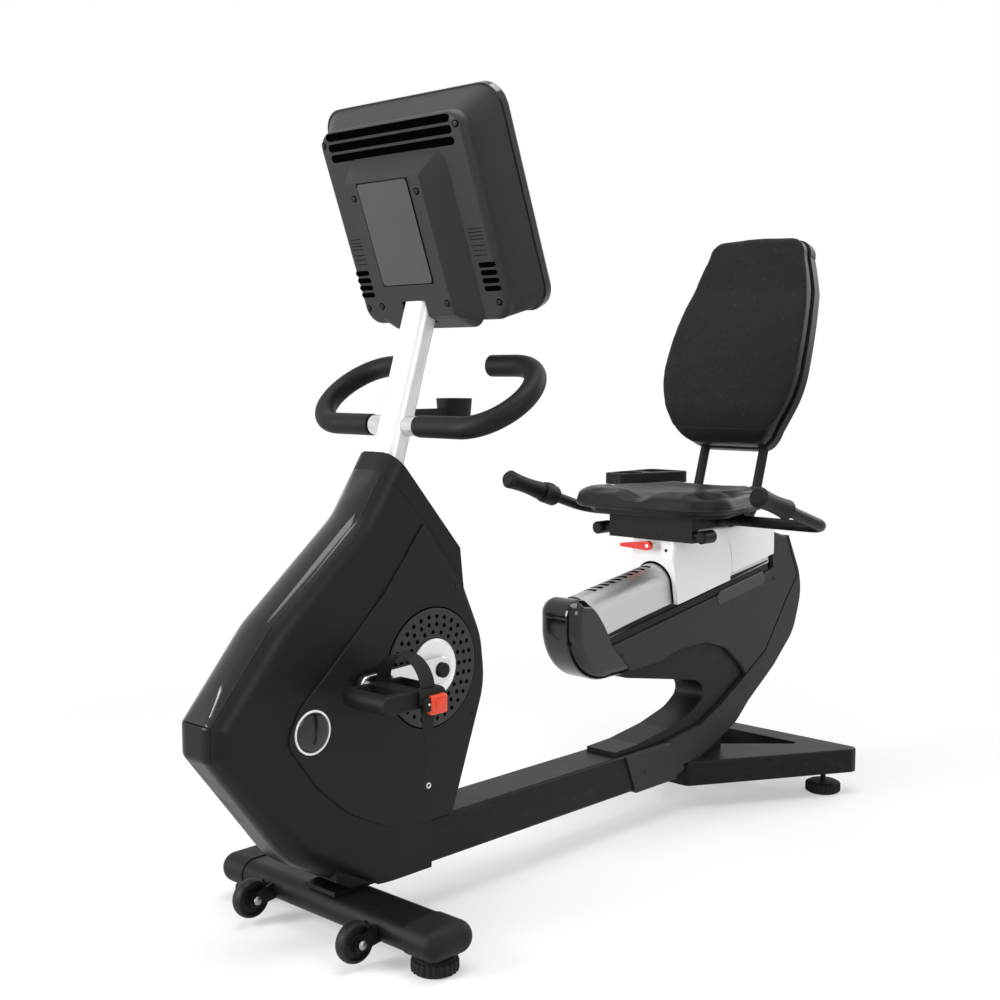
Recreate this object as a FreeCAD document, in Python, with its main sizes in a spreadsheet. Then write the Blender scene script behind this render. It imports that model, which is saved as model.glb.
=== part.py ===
import FreeCAD, Part
import math
import os
import re
import Sketcher
from FreeCAD import Placement, Rotation, Vector

# A recumbent exercise bike. X points the way the rider faces, Y to the rider's left and Z up.
# The origin lies on the floor, below the middle of the whole bike.

doc = FreeCAD.newDocument("exercise_bike")
sizes = doc.addObject("Spreadsheet::Sheet", "Sizes")
AXIS_X = Vector(1, 0, 0)
AXIS_Y = Vector(0, 1, 0)
AXIS_Z = Vector(0, 0, 1)
TOUCH = 1e-4

# Driving dimensions, in millimetres and degrees.
SIZES = [
    ("cap_wall", 2, "stabiliser end cap, wall over the tube"),
    ("tube_wall", 3, "steel tubes, wall"),
    ("nose_half_w", 50, "rear nose cap, half width"),
    ("nose_round", 26, "rear nose cap, rounding of its outer edges"),
    ("run_gap", 0.05, "radial clearance of a shaft in its bearing"),
    ("part_gap", 0.3, "clearance between pieces that move past each other"),
    # front stabiliser, feet and transport wheels
    ("bar_x", 569, "front stabiliser, centre"),
    ("bar_z", 57, "front stabiliser, height of its centre"),
    ("bar_high", 52, "front stabiliser tube, height of its oval"),
    ("bar_deep", 102, "front stabiliser tube, depth of its oval"),
    ("bar_half", 214, "front stabiliser tube, half length"),
    ("cap_long", 74, "stabiliser end cap, length"),
    ("cap_round", 26, "stabiliser end cap, rounding of its end"),
    ("foot_r", 38, "levelling foot, radius"),
    ("foot_thick", 26, "levelling foot, thickness of its disc"),
    ("stud_r", 6, "levelling foot, radius of its threaded stud"),
    ("stud_long", 54, "levelling foot, length of its stud"),
    ("front_foot_y", 239, "front feet, distance from the centre line"),
    ("rear_foot_x", -735, "rear feet, centre"),
    ("rear_foot_y", 190, "rear feet, distance from the centre line"),
    ("wheel_x", 656, "transport wheel axle"),
    ("wheel_y", 140, "transport wheel, distance from the centre line"),
    ("wheel_z", 46, "transport wheel axle, height"),
    ("wheel_r", 35, "transport wheel, radius"),
    ("wheel_wide", 22, "transport wheel, width"),
    ("wheel_axle_r", 5, "transport wheel axle, radius"),
    ("fork_wall", 5, "transport wheel bracket, thickness of its cheeks"),
    ("fork_lug_r", 13, "transport wheel bracket, radius of its lugs"),
    # main beam and drive frame
    ("beam_half_w", 50, "main beam, half width"),
    ("beam_bottom", 88, "main beam, height of its underside"),
    ("beam_top", 171, "main beam, height of its top"),
    ("beam_wall", 3, "main beam, wall"),
    ("beam_round", 7, "main beam, rounding of its long edges"),
    ("beam_front", 618, "main beam, front end"),
    ("beam_rear", -330, "main beam, rear end"),
    ("post_half", 20, "drive frame post, half width"),
    ("crank_x", 401, "crank axle"),
    ("crank_z", 450, "crank axle, height"),
    ("axle_r", 10, "crank axle, radius"),
    ("axle_half", 90, "crank axle, half length"),
    ("shell_r", 25, "bottom bracket shell, outer radius"),
    ("bearing_r", 20, "crank bearing, outer radius"),
    ("bearing_wide", 12, "crank bearing, width"),
    ("crank_long", 172, "crank arm, from axle to pedal spindle"),
    ("arm_thick", 14, "crank arm, thickness"),
    ("arm_boss_r", 24, "crank arm, radius at the axle"),
    ("arm_eye_r", 17, "crank arm, radius at the pedal"),
    ("hub_disc_r", 53, "crank hub disc, radius"),
    ("hub_disc_thick", 6, "crank hub disc, thickness"),
    ("spindle_r", 7, "pedal spindle, radius"),
    ("drive_pulley_r", 110, "drive pulley, radius"),
    ("brake_pulley_r", 22, "brake pulley, radius"),
    ("belt_wide", 12, "drive belt, width"),
    ("belt_thick", 4, "drive belt, thickness"),
    ("belt_y", -36, "drive belt, distance from the centre line"),
    ("brake_x", 640, "brake flywheel axle"),
    ("brake_z", 330, "brake flywheel axle, height"),
    ("flywheel_r", 104, "brake flywheel, radius"),
    ("flywheel_wide", 38, "brake flywheel, width"),
    ("flywheel_y", 18, "brake flywheel, middle of its width"),
    ("rim_thick", 18, "brake flywheel, thickness of its rim"),
    ("idler_r", 18, "belt idler, radius"),
    # pedals
    ("pedal_long", 140, "pedal, length"),
    ("pedal_wide", 104, "pedal, width"),
    ("pedal_thick", 32, "pedal, thickness"),
    ("pedal_y", 150, "pedal, middle of its width"),
    ("pedal_drop", 7, "pedal, how far its body hangs below the spindle"),
    ("strap_wide", 30, "pedal strap, width"),
    ("strap_thick", 3, "pedal strap, thickness"),
    ("strap_high", 44, "pedal strap, height of its arch above the pedal"),
    ("strap_tail", 118, "pedal strap, length of its free end"),
    # front housing
    ("hood_half_w", 56, "front housing, half width"),
    ("hood_round", 36, "front housing, rounding of its front edges"),
    ("hood_rear_round", 8, "front housing, rounding of its rear edges"),
    ("hood_bend", 150, "front housing, bend of its outline"),
    ("nose_bend", 16, "front housing, bend of its nose"),
    ("skin_wall", 3, "plastic covers, wall"),
    ("hood_bottom", 84, "front housing, height of its underside"),
    ("hood_heel_x", 400, "front housing, where its rear edge meets the beam's underside"),
    ("hood_rear_x", 342, "front housing, where its rear edge meets the beam's top"),
    ("hood_back_x", 258, "front housing, rearmost corner of its outline"),
    ("hood_back_z", 400, "front housing, height of that corner"),
    ("hood_waist_x", 268, "front housing, second rear corner"),
    ("hood_waist_z", 490, "front housing, height of that corner"),
    ("hood_lip_x", 318, "front housing, where the top collar starts"),
    ("hood_lip_z", 598, "front housing, height of that point"),
    ("collar_tip_x", 325, "top collar, rear tip"),
    ("collar_tip_z", 658, "top collar, height of its rear tip"),
    ("hood_top_x", 480, "front housing, top"),
    ("hood_top_z", 836, "front housing, height of its top"),
    ("brow_x", 744, "front housing, bend half way down its front"),
    ("brow_z", 566, "front housing, height of that bend"),
    ("hood_neck_x", 550, "front housing, bend below its top"),
    ("hood_neck_z", 730, "front housing, height of that bend"),
    ("nose_x", 864, "front housing, nose"),
    ("nose_top_z", 422, "front housing, height of the nose's upper corner"),
    ("nose_low_z", 366, "front housing, height of the nose's lower corner"),
    ("chin_x", 706, "front housing, chin"),
    ("chin_z", 160, "front housing, height of the chin"),
    ("keel_x", 560, "front housing, front end of its flat underside"),
    ("spine_half_w", 38, "front spine, half width"),
    ("spine_deep", 46, "front spine, depth behind the front edge"),
    ("seam_gap", 0.6, "width of the seams between covers"),
    ("panel_thick", 4, "side panel, thickness"),
    ("panel_bend", 30, "side panel, bend of its front corner"),
    ("panel_round", 2.5, "side panel, rounding of its edge"),
    ("guard_r", 107, "crank guard, radius"),
    ("guard_thick", 3, "crank guard, thickness"),
    # mast, handlebar and console
    ("mast_x", 449, "mast, centre at its measured height"),
    ("mast_z", 822, "mast, the height where that centre is taken"),
    ("mast_tilt", 17.4, "mast, lean to the rear"),
    ("mast_wide", 60, "mast, width"),
    ("mast_deep", 44, "mast, depth"),
    ("mast_round", 17, "mast, rounding of its section"),
    ("mast_low", 130, "mast, length below the measured height"),
    ("mast_high", 318, "mast, length above the measured height"),
    ("mast_wall", 3, "mast, wall"),
    ("grip_bar_x", 428, "handlebar, centre where it crosses the mast"),
    ("grip_bar_z", 880, "handlebar, height where it crosses the mast"),
    ("grip_tilt", 36.7, "handlebar, slope of its loops"),
    ("loop_r", 88, "handlebar, radius of its loops"),
    ("loop_y", 158, "handlebar, where the loops start to bend"),
    ("loop_end", 104, "handlebar, where the loops end"),
    ("grip_tube_r", 14, "handlebar tube, radius"),
    ("grip_r", 19.5, "foam grip, radius"),
    ("grip_from", 62, "foam grip, where it starts"),
    ("ferrule_r", 18, "handlebar ferrule, radius"),
    ("console_x", 450, "console, back face at its top slot"),
    ("console_z", 1390, "console, height of that point"),
    ("console_tilt", 20.2, "console, lean forward"),
    ("housing_top", 12, "console back housing, top edge above the reference"),
    ("housing_low", 350, "console back housing, lower edge below the reference"),
    ("housing_half_w", 184, "console back housing, half width"),
    ("housing_deep", 20, "console back housing, depth of its straight side"),
    ("housing_round", 14, "console back housing, rounding of its back edge"),
    ("rim_half_w", 223, "console bezel, half width"),
    ("rim_top", 42, "console bezel, top edge above the reference"),
    ("rim_low", 352, "console bezel, lower edge below the reference"),
    ("rim_corner", 46, "console bezel, corner radius"),
    ("rim_back", 64, "console bezel, distance from the back face to the rim"),
    ("rim_deep", 18, "console bezel, depth of its rim"),
    ("hump_half_w", 128, "console hump, half width at its root"),
    ("hump_high", 40, "console hump, height"),
    ("hump_top", 42, "console hump, top of its root below the reference"),
    ("hump_draft", 41, "console hump, slope of its sides"),
    ("hatch_half_w", 63, "console hatch, half width"),
    ("hatch_top", 80, "console hatch, top edge below the reference"),
    ("hatch_low", 264, "console hatch, lower edge below the reference"),
    ("hatch_thick", 2, "console hatch, thickness"),
    ("slot_half", 157, "console vent, half length of its slots"),
    ("slot_high", 9, "console vent, height of its slots"),
    ("slot_pitch", 19, "console vent, distance between its slots"),
    ("hook_r", 30, "accessory cup, radius"),
    # rear frame, rail and covers
    ("rail_x", -60, "seat rail, front end of its top line"),
    ("rail_z", 517, "seat rail, height of that point"),
    ("rail_tilt", 9.3, "seat rail, rise to the rear"),
    ("rail_long", 650, "seat rail, length"),
    ("rail_half_w", 43, "seat rail, half width"),
    ("rail_high", 98, "seat rail, height"),
    ("rail_wall", 5, "seat rail, wall"),
    ("track_high", 14, "rail track, height"),
    ("column_half_w", 38, "rear column, half width"),
    ("column_wall", 4, "rear column, wall"),
    ("core_bend", 24, "rear column, bend of its open side"),
    ("band_bend", 108, "rear column, bends of its rear outline"),
    ("base_wall", 5, "rear base, wall"),
    ("cover_half_w", 48, "rear covers, half width over both"),
    ("cover_round", 5, "rear covers, rounding of their edges"),
    ("boot_half_w", 54, "beam boot, half width"),
    ("base_high", 54, "rear base, thickness"),
    ("base_low", 56, "rear base, height of its underside"),
    ("base_rear_x", -772, "rear base, rear edge"),
    ("base_tip_y", 258, "rear base, half width at its tips"),
    ("base_bar", 62, "rear base, width of its crossbar"),
    ("base_arm", 66, "rear base, width of its arms"),
    ("base_front_x", -395, "rear base, where its outer edge leaves the column"),
    # seat
    ("slide_fore", 225, "seat, travel forward along the rail"),
    ("saddle_front", 268, "seat carriage, its mouth behind the rail's front end"),
    ("saddle_half_w", 58, "seat carriage, half width"),
    ("saddle_top", 630, "seat carriage, height of its top"),
    ("saddle_rear_x", -722, "seat carriage, rear face"),
    ("tunnel_gap", 3, "seat carriage, clearance of its tunnel over the rail"),
    ("roller_r", 12, "seat carriage roller, radius"),
    ("roller_wide", 24, "seat carriage roller, width"),
    ("cross_x", -334, "seat bracket, rear face"),
    ("bracket_thick", 22, "seat bracket, thickness"),
    ("bracket_half", 112, "seat bracket, half width"),
    ("cross_z", 628, "seat crossbar, height of its centre"),
    ("cross_half", 134, "seat crossbar, half length"),
    ("knob_r", 14, "seat crossbar knob, radius"),
    ("knob_long", 44, "seat crossbar knob, length"),
    ("pan_z", 668, "seat pan, height of its underside"),
    ("pan_thick", 10, "seat pan, thickness"),
    ("cushion_high", 42, "seat cushion, thickness"),
    ("cushion_front_x", -238, "seat cushion, front edge"),
    ("cushion_rear_x", -578, "seat cushion, rear edge"),
    ("cushion_half_w", 198, "seat cushion, half width"),
    ("cushion_round", 18, "seat cushion, rounding"),
    ("back_x", -572, "backrest, lower edge of its front face"),
    ("back_z", 790, "backrest, height of its lower edge"),
    ("back_tilt", 15.5, "backrest, lean to the rear"),
    ("back_high", 514, "backrest, top edge above its reference"),
    ("back_foot", 20, "backrest, lower edge above its reference"),
    ("back_half_w", 184, "backrest, greatest half width"),
    ("back_top_half", 132, "backrest, half width at its top"),
    ("back_low_half", 112, "backrest, half width at its lower edge"),
    ("pad_thick", 40, "backrest pad, thickness"),
    ("shell_thick", 22, "backrest shell, thickness"),
    ("post_y", 80, "backrest posts, distance from the centre line"),
    ("post_r", 11, "backrest posts, radius"),
    ("side_y", 332, "side handles, distance from the centre line"),
    ("side_rear_x", -486, "side handles, cross tube"),
    ("side_rear_z", 648, "side handles, height of the cross tube"),
    ("side_tilt", 17.4, "side handles, rise to the front"),
    ("side_long", 280, "side handles, length of the arms"),
    ("side_bend", 42, "side handles, bend radius"),
    ("side_tube_r", 12, "side handles, tube radius"),
    ("side_grip_r", 21, "side handle grip, radius"),
    ("side_grip_long", 118, "side handle grip, length"),
    ("pod_long", 46, "control pod, length"),
    ("button_travel", 2, "control button, travel"),
    ("tray_z", 738, "seat tray, height of its top"),
    ("tray_high", 26, "seat tray, thickness"),
    ("tray_y", 206, "seat tray, distance from the centre line"),
    ("tray_cup_r", 34, "seat tray, radius of its bottle seat"),
    ("lever_y", 4, "seat lever, pivot"),
    ("lever_z", 600, "seat lever, height of its pivot"),
    ("lever_x", -300, "seat lever, distance along the bike"),
    ("lever_long", 70, "seat lever, length"),
]

for row, (word, number, note) in enumerate(SIZES, 1):
    sizes.set("A%d" % row, note)
    sizes.set("B%d" % row, str(number))
    sizes.setAlias("B%d" % row, word)
doc.recompute()


# ---- formulas over the sheet ----

def cells(text):
    """The text of a formula with every size's name turned into its cell."""
    return re.sub(r"\b[a-z]+(?:_[a-z0-9]+)+\b|\bskin\b|\bseam\b", lambda found: "Sizes." + found.group(0), str(text))


def size(text):
    """The value of a formula over the sheet."""
    return float(sizes.evalExpression(cells(text)))


def bind(thing, prop, text):
    thing.setExpression(prop, cells(text))


def put(thing, x="0", y="0", z="0", axis=AXIS_Z, angle="0"):
    """Place a thing at formulas over the sheet, turned about one axis."""
    thing.Placement = Placement(Vector(size(x), size(y), size(z)), Rotation(axis, size(angle)))
    for letter, text in (("x", x), ("y", y), ("z", z)):
        bind(thing, "Placement.Base." + letter, text)
    if angle != "0":
        bind(thing, "Placement.Rotation.Angle", angle)
    return thing


# ---- sketches and bodies ----

def new_body(name):
    return doc.addObject("PartDesign::Body", name)


def plane_of(body, role):
    return [part for part in body.Origin.OriginFeatures if part.Role == role][0]


def new_sketch(body, name, role, lift="0"):
    """A sketch on one of the body's own planes, lifted off it by a formula."""
    sketch = body.newObject("Sketcher::SketchObject", name)
    sketch.AttachmentSupport = [(plane_of(body, role), "")]
    sketch.MapMode = "FlatFace"
    if lift != "0":
        sketch.AttachmentOffset = Placement(Vector(0, 0, size(lift)), Rotation())
        bind(sketch, "AttachmentOffset.Base.z", lift)
    return sketch


def pin(sketch, element, end, across, up):
    """Hold one point of a sketch at two formulas, measured from the sketch's origin."""
    for kind, text in (("DistanceX", across), ("DistanceY", up)):
        rule = Sketcher.Constraint(kind, -1, 1, element, end, size(text))
        bind(sketch, "Constraints[%d]" % sketch.addConstraint(rule), text)


def end_at(sketch, element, corner):
    """Which end of an element lies at a corner: an arc may be stored the other way round."""
    target = Vector(size(corner[0]), size(corner[1]), 0)
    near, far = [(sketch.getPoint(element, end) - target).Length for end in (1, 2)]
    return 1 if near <= far else 2


def outline(sketch, start, *steps, closed=True):
    """A chain of lines and arcs. A step of two formulas is a line to a corner, and one of four
    is an arc through a point to a corner. A closed chain goes back to its start."""
    corners = [start] + [step[-2:] for step in steps]
    if closed and corners[-1] != start:
        steps = steps + (start,)
        corners.append(start)
    elements = []
    for before, step in zip(corners, steps):
        first = Vector(size(before[0]), size(before[1]), 0)
        last = Vector(size(step[-2]), size(step[-1]), 0)
        if len(step) == 2:
            elements.append(sketch.addGeometry(Part.LineSegment(first, last)))
        else:
            middle = Vector(size(step[0]), size(step[1]), 0)
            elements.append(sketch.addGeometry(Part.Arc(first, middle, last)))
    if not closed:
        pin(sketch, elements[0], end_at(sketch, elements[0], start), *start)
    for number, element in enumerate(elements):
        corner = corners[number + 1]
        end = end_at(sketch, element, corner)
        pin(sketch, element, end, *corner)
        if closed or number + 1 < len(elements):
            after = elements[(number + 1) % len(elements)]
            join = Sketcher.Constraint("Coincident", element, end, after, end_at(sketch, after, corner))
            sketch.addConstraint(join)
    for element, step in zip(elements, steps):
        if len(step) == 4:
            mark = sketch.addGeometry(Part.Point(Vector(size(step[0]), size(step[1]), 0)), True)
            pin(sketch, mark, 1, step[0], step[1])
            sketch.addConstraint(Sketcher.Constraint("PointOnObject", mark, 1, element))
    return sketch


def round_outline(sketch, radius, across="0", up="0"):
    """A circle held at a centre and a radius."""
    centre = Vector(size(across), size(up), 0)
    circle = sketch.addGeometry(Part.Circle(centre, AXIS_Z, size(radius)))
    pin(sketch, circle, 3, across, up)
    rule = sketch.addConstraint(Sketcher.Constraint("Radius", circle, size(radius)))
    bind(sketch, "Constraints[%d]" % rule, radius)
    return sketch


def pad(body, sketch, length, side="Symmetric", draft=None):
    """Give a sketch a thickness, to both sides or to one."""
    feature = body.newObject("PartDesign::Pad", sketch.Name + "_pad")
    feature.Profile = sketch
    feature.SideType = side
    bind(feature, "Length", length)
    if draft:
        bind(feature, "TaperAngle", draft)
    doc.recompute()
    return feature


def round_edges(body, base, radius, wanted):
    """Fillet the edges of a feature that a test picks."""
    names = ["Edge%d" % (i + 1) for i, edge in enumerate(base.Shape.Edges) if wanted(edge)]
    feature = body.newObject("PartDesign::Fillet", base.Name + "_round")
    feature.Base = (base, names)
    bind(feature, "Radius", radius)
    doc.recompute()
    return feature


def middle_of(edge):
    return edge.valueAt((edge.FirstParameter + edge.LastParameter) / 2)


def runs_along(axis):
    """A test for straight edges along one axis of the body."""
    def test(edge):
        ends = [vertex.Point for vertex in edge.Vertexes]
        return len(ends) == 2 and (ends[1] - ends[0]).normalize().cross(axis).Length < TOUCH
    return test


def plate(name, role, start, *steps, thick, lift="0", side="Symmetric"):
    """A body padded from one closed outline."""
    body = new_body(name)
    sketch = outline(new_sketch(body, name + "_outline", role, lift), start, *steps)
    pad(body, sketch, thick, side)
    return body


def pipe(name, role, face, radius, start, *steps):
    """A round tube along a chain in one plane. Its first stretch stands square on the face plane."""
    body = new_body(name)
    path = outline(new_sketch(body, name + "_path", role), start, *steps, closed=False)
    ring = new_sketch(body, name + "_ring", face[0], face[1])
    round_outline(ring, radius, face[2], face[3])
    doc.recompute()
    feature = body.newObject("PartDesign::AdditivePipe", name + "_pipe")
    feature.Profile = ring
    feature.Spine = (path, ["Edge%d" % (i + 1) for i in range(len(steps))])
    doc.recompute()
    return body


# ---- primitives and booleans ----

def block(name, long, wide, high, x, y, z):
    """A box by its lowest corner."""
    thing = doc.addObject("Part::Box", name)
    for prop, text in (("Length", long), ("Width", wide), ("Height", high)):
        bind(thing, prop, text)
    return put(thing, x, y, z)


def rod(name, radius, long, x, y, z, along="Y"):
    """A cylinder from one end, along an axis."""
    thing = doc.addObject("Part::Cylinder", name)
    bind(thing, "Radius", radius)
    bind(thing, "Height", long)
    turn = {"X": (AXIS_Y, "90"), "Y": (AXIS_X, "-90"), "Z": (AXIS_Z, "0")}[along]
    return put(thing, x, y, z, *turn)


def fuse(name, *pieces):
    thing = doc.addObject("Part::MultiFuse", name)
    thing.Shapes = list(pieces)
    return thing


def cut(name, base, *tools):
    thing = doc.addObject("Part::Cut", name)
    thing.Base = base
    thing.Tool = tools[0] if len(tools) == 1 else fuse(name + "_tools", *tools)
    return thing


def common(name, one, other):
    thing = doc.addObject("Part::Common", name)
    thing.Base = one
    thing.Tool = other
    return thing


def group(name, *pieces):
    """Several separate solids that make one node."""
    thing = doc.addObject("Part::Compound", name)
    thing.Links = list(pieces)
    return thing


def mirror(name, source):
    """The same piece on the other side of the bike."""
    thing = doc.addObject("Part::Mirroring", name)
    thing.Source = source
    thing.Normal = AXIS_Y
    return thing


def pair(name, source):
    """A piece and its mirror image, in one node."""
    return group(name, source, mirror(name + "_other", source))


def ring(name, outer, inner, long, x, y, z, along="Y"):
    """A tube from one end, along an axis."""
    start = {"X": (x + " - 1", y, z), "Y": (x, y + " - 1", z), "Z": (x, y, z + " - 1")}[along]
    hole = rod(name + "_hole", inner, long + " + 2", *start, along)
    return cut(name, rod(name + "_rod", outer, long, x, y, z, along), hole)


nodes = []


def node(label, thing):
    thing.Label = label
    nodes.append(thing)
    return thing


def stadium(sketch, across, up, long, high):
    """A slot with round ends, lying across the sketch."""
    flat = "((%s) - (%s)) / 2" % (long, high)
    left = "(%s) - (%s)" % (across, flat)
    right = "(%s) + (%s)" % (across, flat)
    low = "(%s) - (%s) / 2" % (up, high)
    top = "(%s) + (%s) / 2" % (up, high)
    right_tip = "(%s) + (%s) / 2" % (across, long)
    left_tip = "(%s) - (%s) / 2" % (across, long)
    return outline(sketch, (left, low), (right, low), (right_tip, up, right, top), (left, top),
                   (left_tip, up, left, low))


def turned(name, start, *steps):
    """A body turned about the Z axis from half of its section."""
    body = new_body(name)
    sketch = outline(new_sketch(body, name + "_section", "XZ_Plane"), start, *steps)
    feature = body.newObject("PartDesign::Revolution", name + "_turn")
    feature.Profile = sketch
    feature.ReferenceAxis = (sketch, ["V_Axis"])
    feature.Angle = 360
    doc.recompute()
    return body


def at_corners(*corners):
    """A test for the edges that run across the bike at some corners of a side outline."""
    spots = [(size(x), size(z)) for x, z in corners]

    def test(edge):
        first, last = edge.Vertexes[0].Point, edge.Vertexes[-1].Point
        if abs(first.x - last.x) > TOUCH or abs(first.z - last.z) > TOUCH:
            return False
        return any(abs(first.x - x) < 0.01 and abs(first.z - z) < 0.01 for x, z in spots)
    return test


def inward(corner, before, after, by):
    """A corner of an outline moved in by a wall, square to both of the edges that meet there."""
    x0, z0 = size(before[0]), size(before[1])
    x1, z1 = size(corner[0]), size(corner[1])
    x2, z2 = size(after[0]), size(after[1])
    one = Vector(z0 - z1, x1 - x0, 0).normalize()
    two = Vector(z1 - z2, x2 - x1, 0).normalize()
    step = (one + two) / (1 + one.dot(two))
    return ("(%s) + (%s) * %.6f" % (corner[0], by, step.x), "(%s) + (%s) * %.6f" % (corner[1], by, step.y))


def inset(corners, by):
    """An outline moved in by a wall; its corners run the way the clock's hands go backwards."""
    count = len(corners)
    return [inward(corners[i], corners[i - 1], corners[(i + 1) % count], by) for i in range(count)]


# ---- front stabiliser, feet and transport wheels ----

def oval_tube(name, grow, half_long):
    """A tube of oval section lying across the bike, grown all round by a wall."""
    body = new_body(name)
    sketch = new_sketch(body, name + "_section", "XZ_Plane")
    stadium(sketch, "0", "0", "bar_deep + 2 * (%s)" % grow, "bar_high + 2 * (%s)" % grow)
    pad(body, sketch, half_long + " * 2")
    return put(body, "bar_x", "0", "bar_z")


def wheel_cheek(name, y):
    """One cheek of a transport wheel bracket."""
    body = new_body(name)
    sketch = new_sketch(body, name + "_outline", "XZ_Plane")
    root = "bar_x - wheel_x + bar_deep / 2 - bar_high / 2"
    outline(sketch, (root, "bar_z - wheel_z + 16"), ("0", "fork_lug_r"), ("fork_lug_r", "0", "0", "-fork_lug_r"),
            (root, "bar_z - wheel_z - 16"))
    pad(body, sketch, "fork_wall")
    return put(body, "wheel_x", y, "wheel_z")


def front_stabiliser():
    cheek_y = "wheel_y %s (wheel_wide / 2 + part_gap + fork_wall / 2)"
    inner = wheel_cheek("cheek_inner", cheek_y % "-")
    outer = wheel_cheek("cheek_outer", cheek_y % "+")
    axle = rod("wheel_axle", "wheel_axle_r", "wheel_wide + 2 * fork_wall + 8", "wheel_x",
               "wheel_y - wheel_wide / 2 - fork_wall - 4", "wheel_z")
    head = rod("wheel_axle_head", "wheel_axle_r + 3", "wheel_wide + 2 * fork_wall + 6", "wheel_x",
               "wheel_y - wheel_wide / 2 - fork_wall - 3", "wheel_z")
    space = ring("wheel_axle_space", "fork_lug_r + 4", "wheel_axle_r", "wheel_wide + 2 * part_gap", "wheel_x",
                 "wheel_y - wheel_wide / 2 - part_gap", "wheel_z")
    bracket = cut("wheel_bracket", fuse("wheel_bracket_raw", inner, outer, axle, head), space)
    tube = fuse("stabiliser_raw", oval_tube("stabiliser_tube", "0", "bar_half"), bracket,
                mirror("wheel_bracket_other", bracket))
    bore = oval_tube("stabiliser_bore", "-tube_wall", "(bar_half + 1)")
    node("front_stabiliser", cut("stabiliser_bored", tube, bore))


def stabiliser_end_caps():
    body = new_body("end_cap")
    sketch = new_sketch(body, "end_cap_section", "XZ_Plane")
    stadium(sketch, "0", "0", "bar_deep + 2 * cap_wall", "bar_high + 2 * cap_wall")
    base = pad(body, sketch, "cap_long", "One side")
    far = size("cap_long")
    round_edges(body, base, "cap_round", lambda edge: abs(middle_of(edge).y + far) < TOUCH)
    put(body, "bar_x", "-bar_half", "bar_z")
    hole = rod("end_cap_hole", "stud_r + run_gap", "stud_long + foot_thick", "bar_x", "-front_foot_y", "2", "Z")
    node("stabiliser_end_caps", pair("end_caps", cut("end_cap_drilled", body, hole)))


def levelling_foot(label, x, y):
    """A rubber disc with a chamfered edge on a threaded stud."""
    body = turned(label + "_body", ("0", "0"), ("foot_r - 4", "0"), ("foot_r", "4"), ("foot_r", "foot_thick - 6"),
                  ("foot_r - 7", "foot_thick"), ("stud_r", "foot_thick"), ("stud_r", "foot_thick + stud_long"),
                  ("0", "foot_thick + stud_long"))
    node(label, put(body, x, y, "0"))


def levelling_feet():
    levelling_foot("foot_front_left", "bar_x", "front_foot_y")
    levelling_foot("foot_front_right", "bar_x", "-front_foot_y")
    levelling_foot("foot_rear_left", "rear_foot_x", "rear_foot_y")
    levelling_foot("foot_rear_right", "rear_foot_x", "-rear_foot_y")


def transport_wheel(label, y):
    """A wheel with a crowned tread and a dished hub."""
    half = "wheel_wide / 2"
    bore = "wheel_axle_r + run_gap"
    body = turned(label + "_body", (bore, "-" + half), ("wheel_r * 0.4", "-" + half), ("wheel_r * 0.46", "-5"),
                  ("wheel_r * 0.74", "-5"), ("wheel_r * 0.8", "-" + half), ("wheel_r - 3", "-" + half),
                  ("wheel_r", "0", "wheel_r - 3", half), ("wheel_r * 0.8", half), ("wheel_r * 0.74", "5"),
                  ("wheel_r * 0.46", "5"), ("wheel_r * 0.4", half), (bore, half))
    node(label, put(body, "wheel_x", y, "wheel_z", AXIS_X, "90"))


def transport_wheels():
    transport_wheel("transport_wheel_left", "wheel_y")
    transport_wheel("transport_wheel_right", "-wheel_y")


# ---- main beam and drive frame ----

def beam_prism(name, grow, start, end):
    """The beam's side outline given its width, grown all round."""
    body = plate(name, "XZ_Plane", (start, "beam_bottom - (%s)" % grow),
                 (end + " - 40", "beam_bottom - (%s)" % grow), (end, "beam_bottom + 24 - (%s)" % grow),
                 (end, "beam_top + (%s)" % grow), (start, "beam_top + (%s)" % grow),
                 thick="2 * beam_half_w + 2 * (%s)" % grow)
    return body


def main_beam():
    outer = beam_prism("beam_outer", "0", "beam_rear", "beam_front")
    rounded = round_edges(outer, outer.Tip, "beam_round", runs_along(AXIS_X))
    outer.Tip = rounded
    inner = beam_prism("beam_inner", "-beam_wall", "beam_rear - 1", "beam_front + 1")
    tube = cut("beam_tube", outer, inner)
    saddle = block("beam_saddle", "90", "80", "beam_bottom - bar_z - bar_high / 2 + beam_wall", "bar_x - 45", "-40",
                   "bar_z + bar_high / 2")
    step = block("beam_step", "60", "2 * beam_half_w - 30", "4 + beam_wall", "bar_x - 165", "15 - beam_half_w",
                 "beam_bottom - 4")
    node("main_beam", fuse("beam_welded", tube, saddle, step))


MAST_FOOT_X = "(mast_x + mast_low * sin(mast_tilt))"
MAST_FOOT_Z = "(mast_z - mast_low * cos(mast_tilt))"


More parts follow.
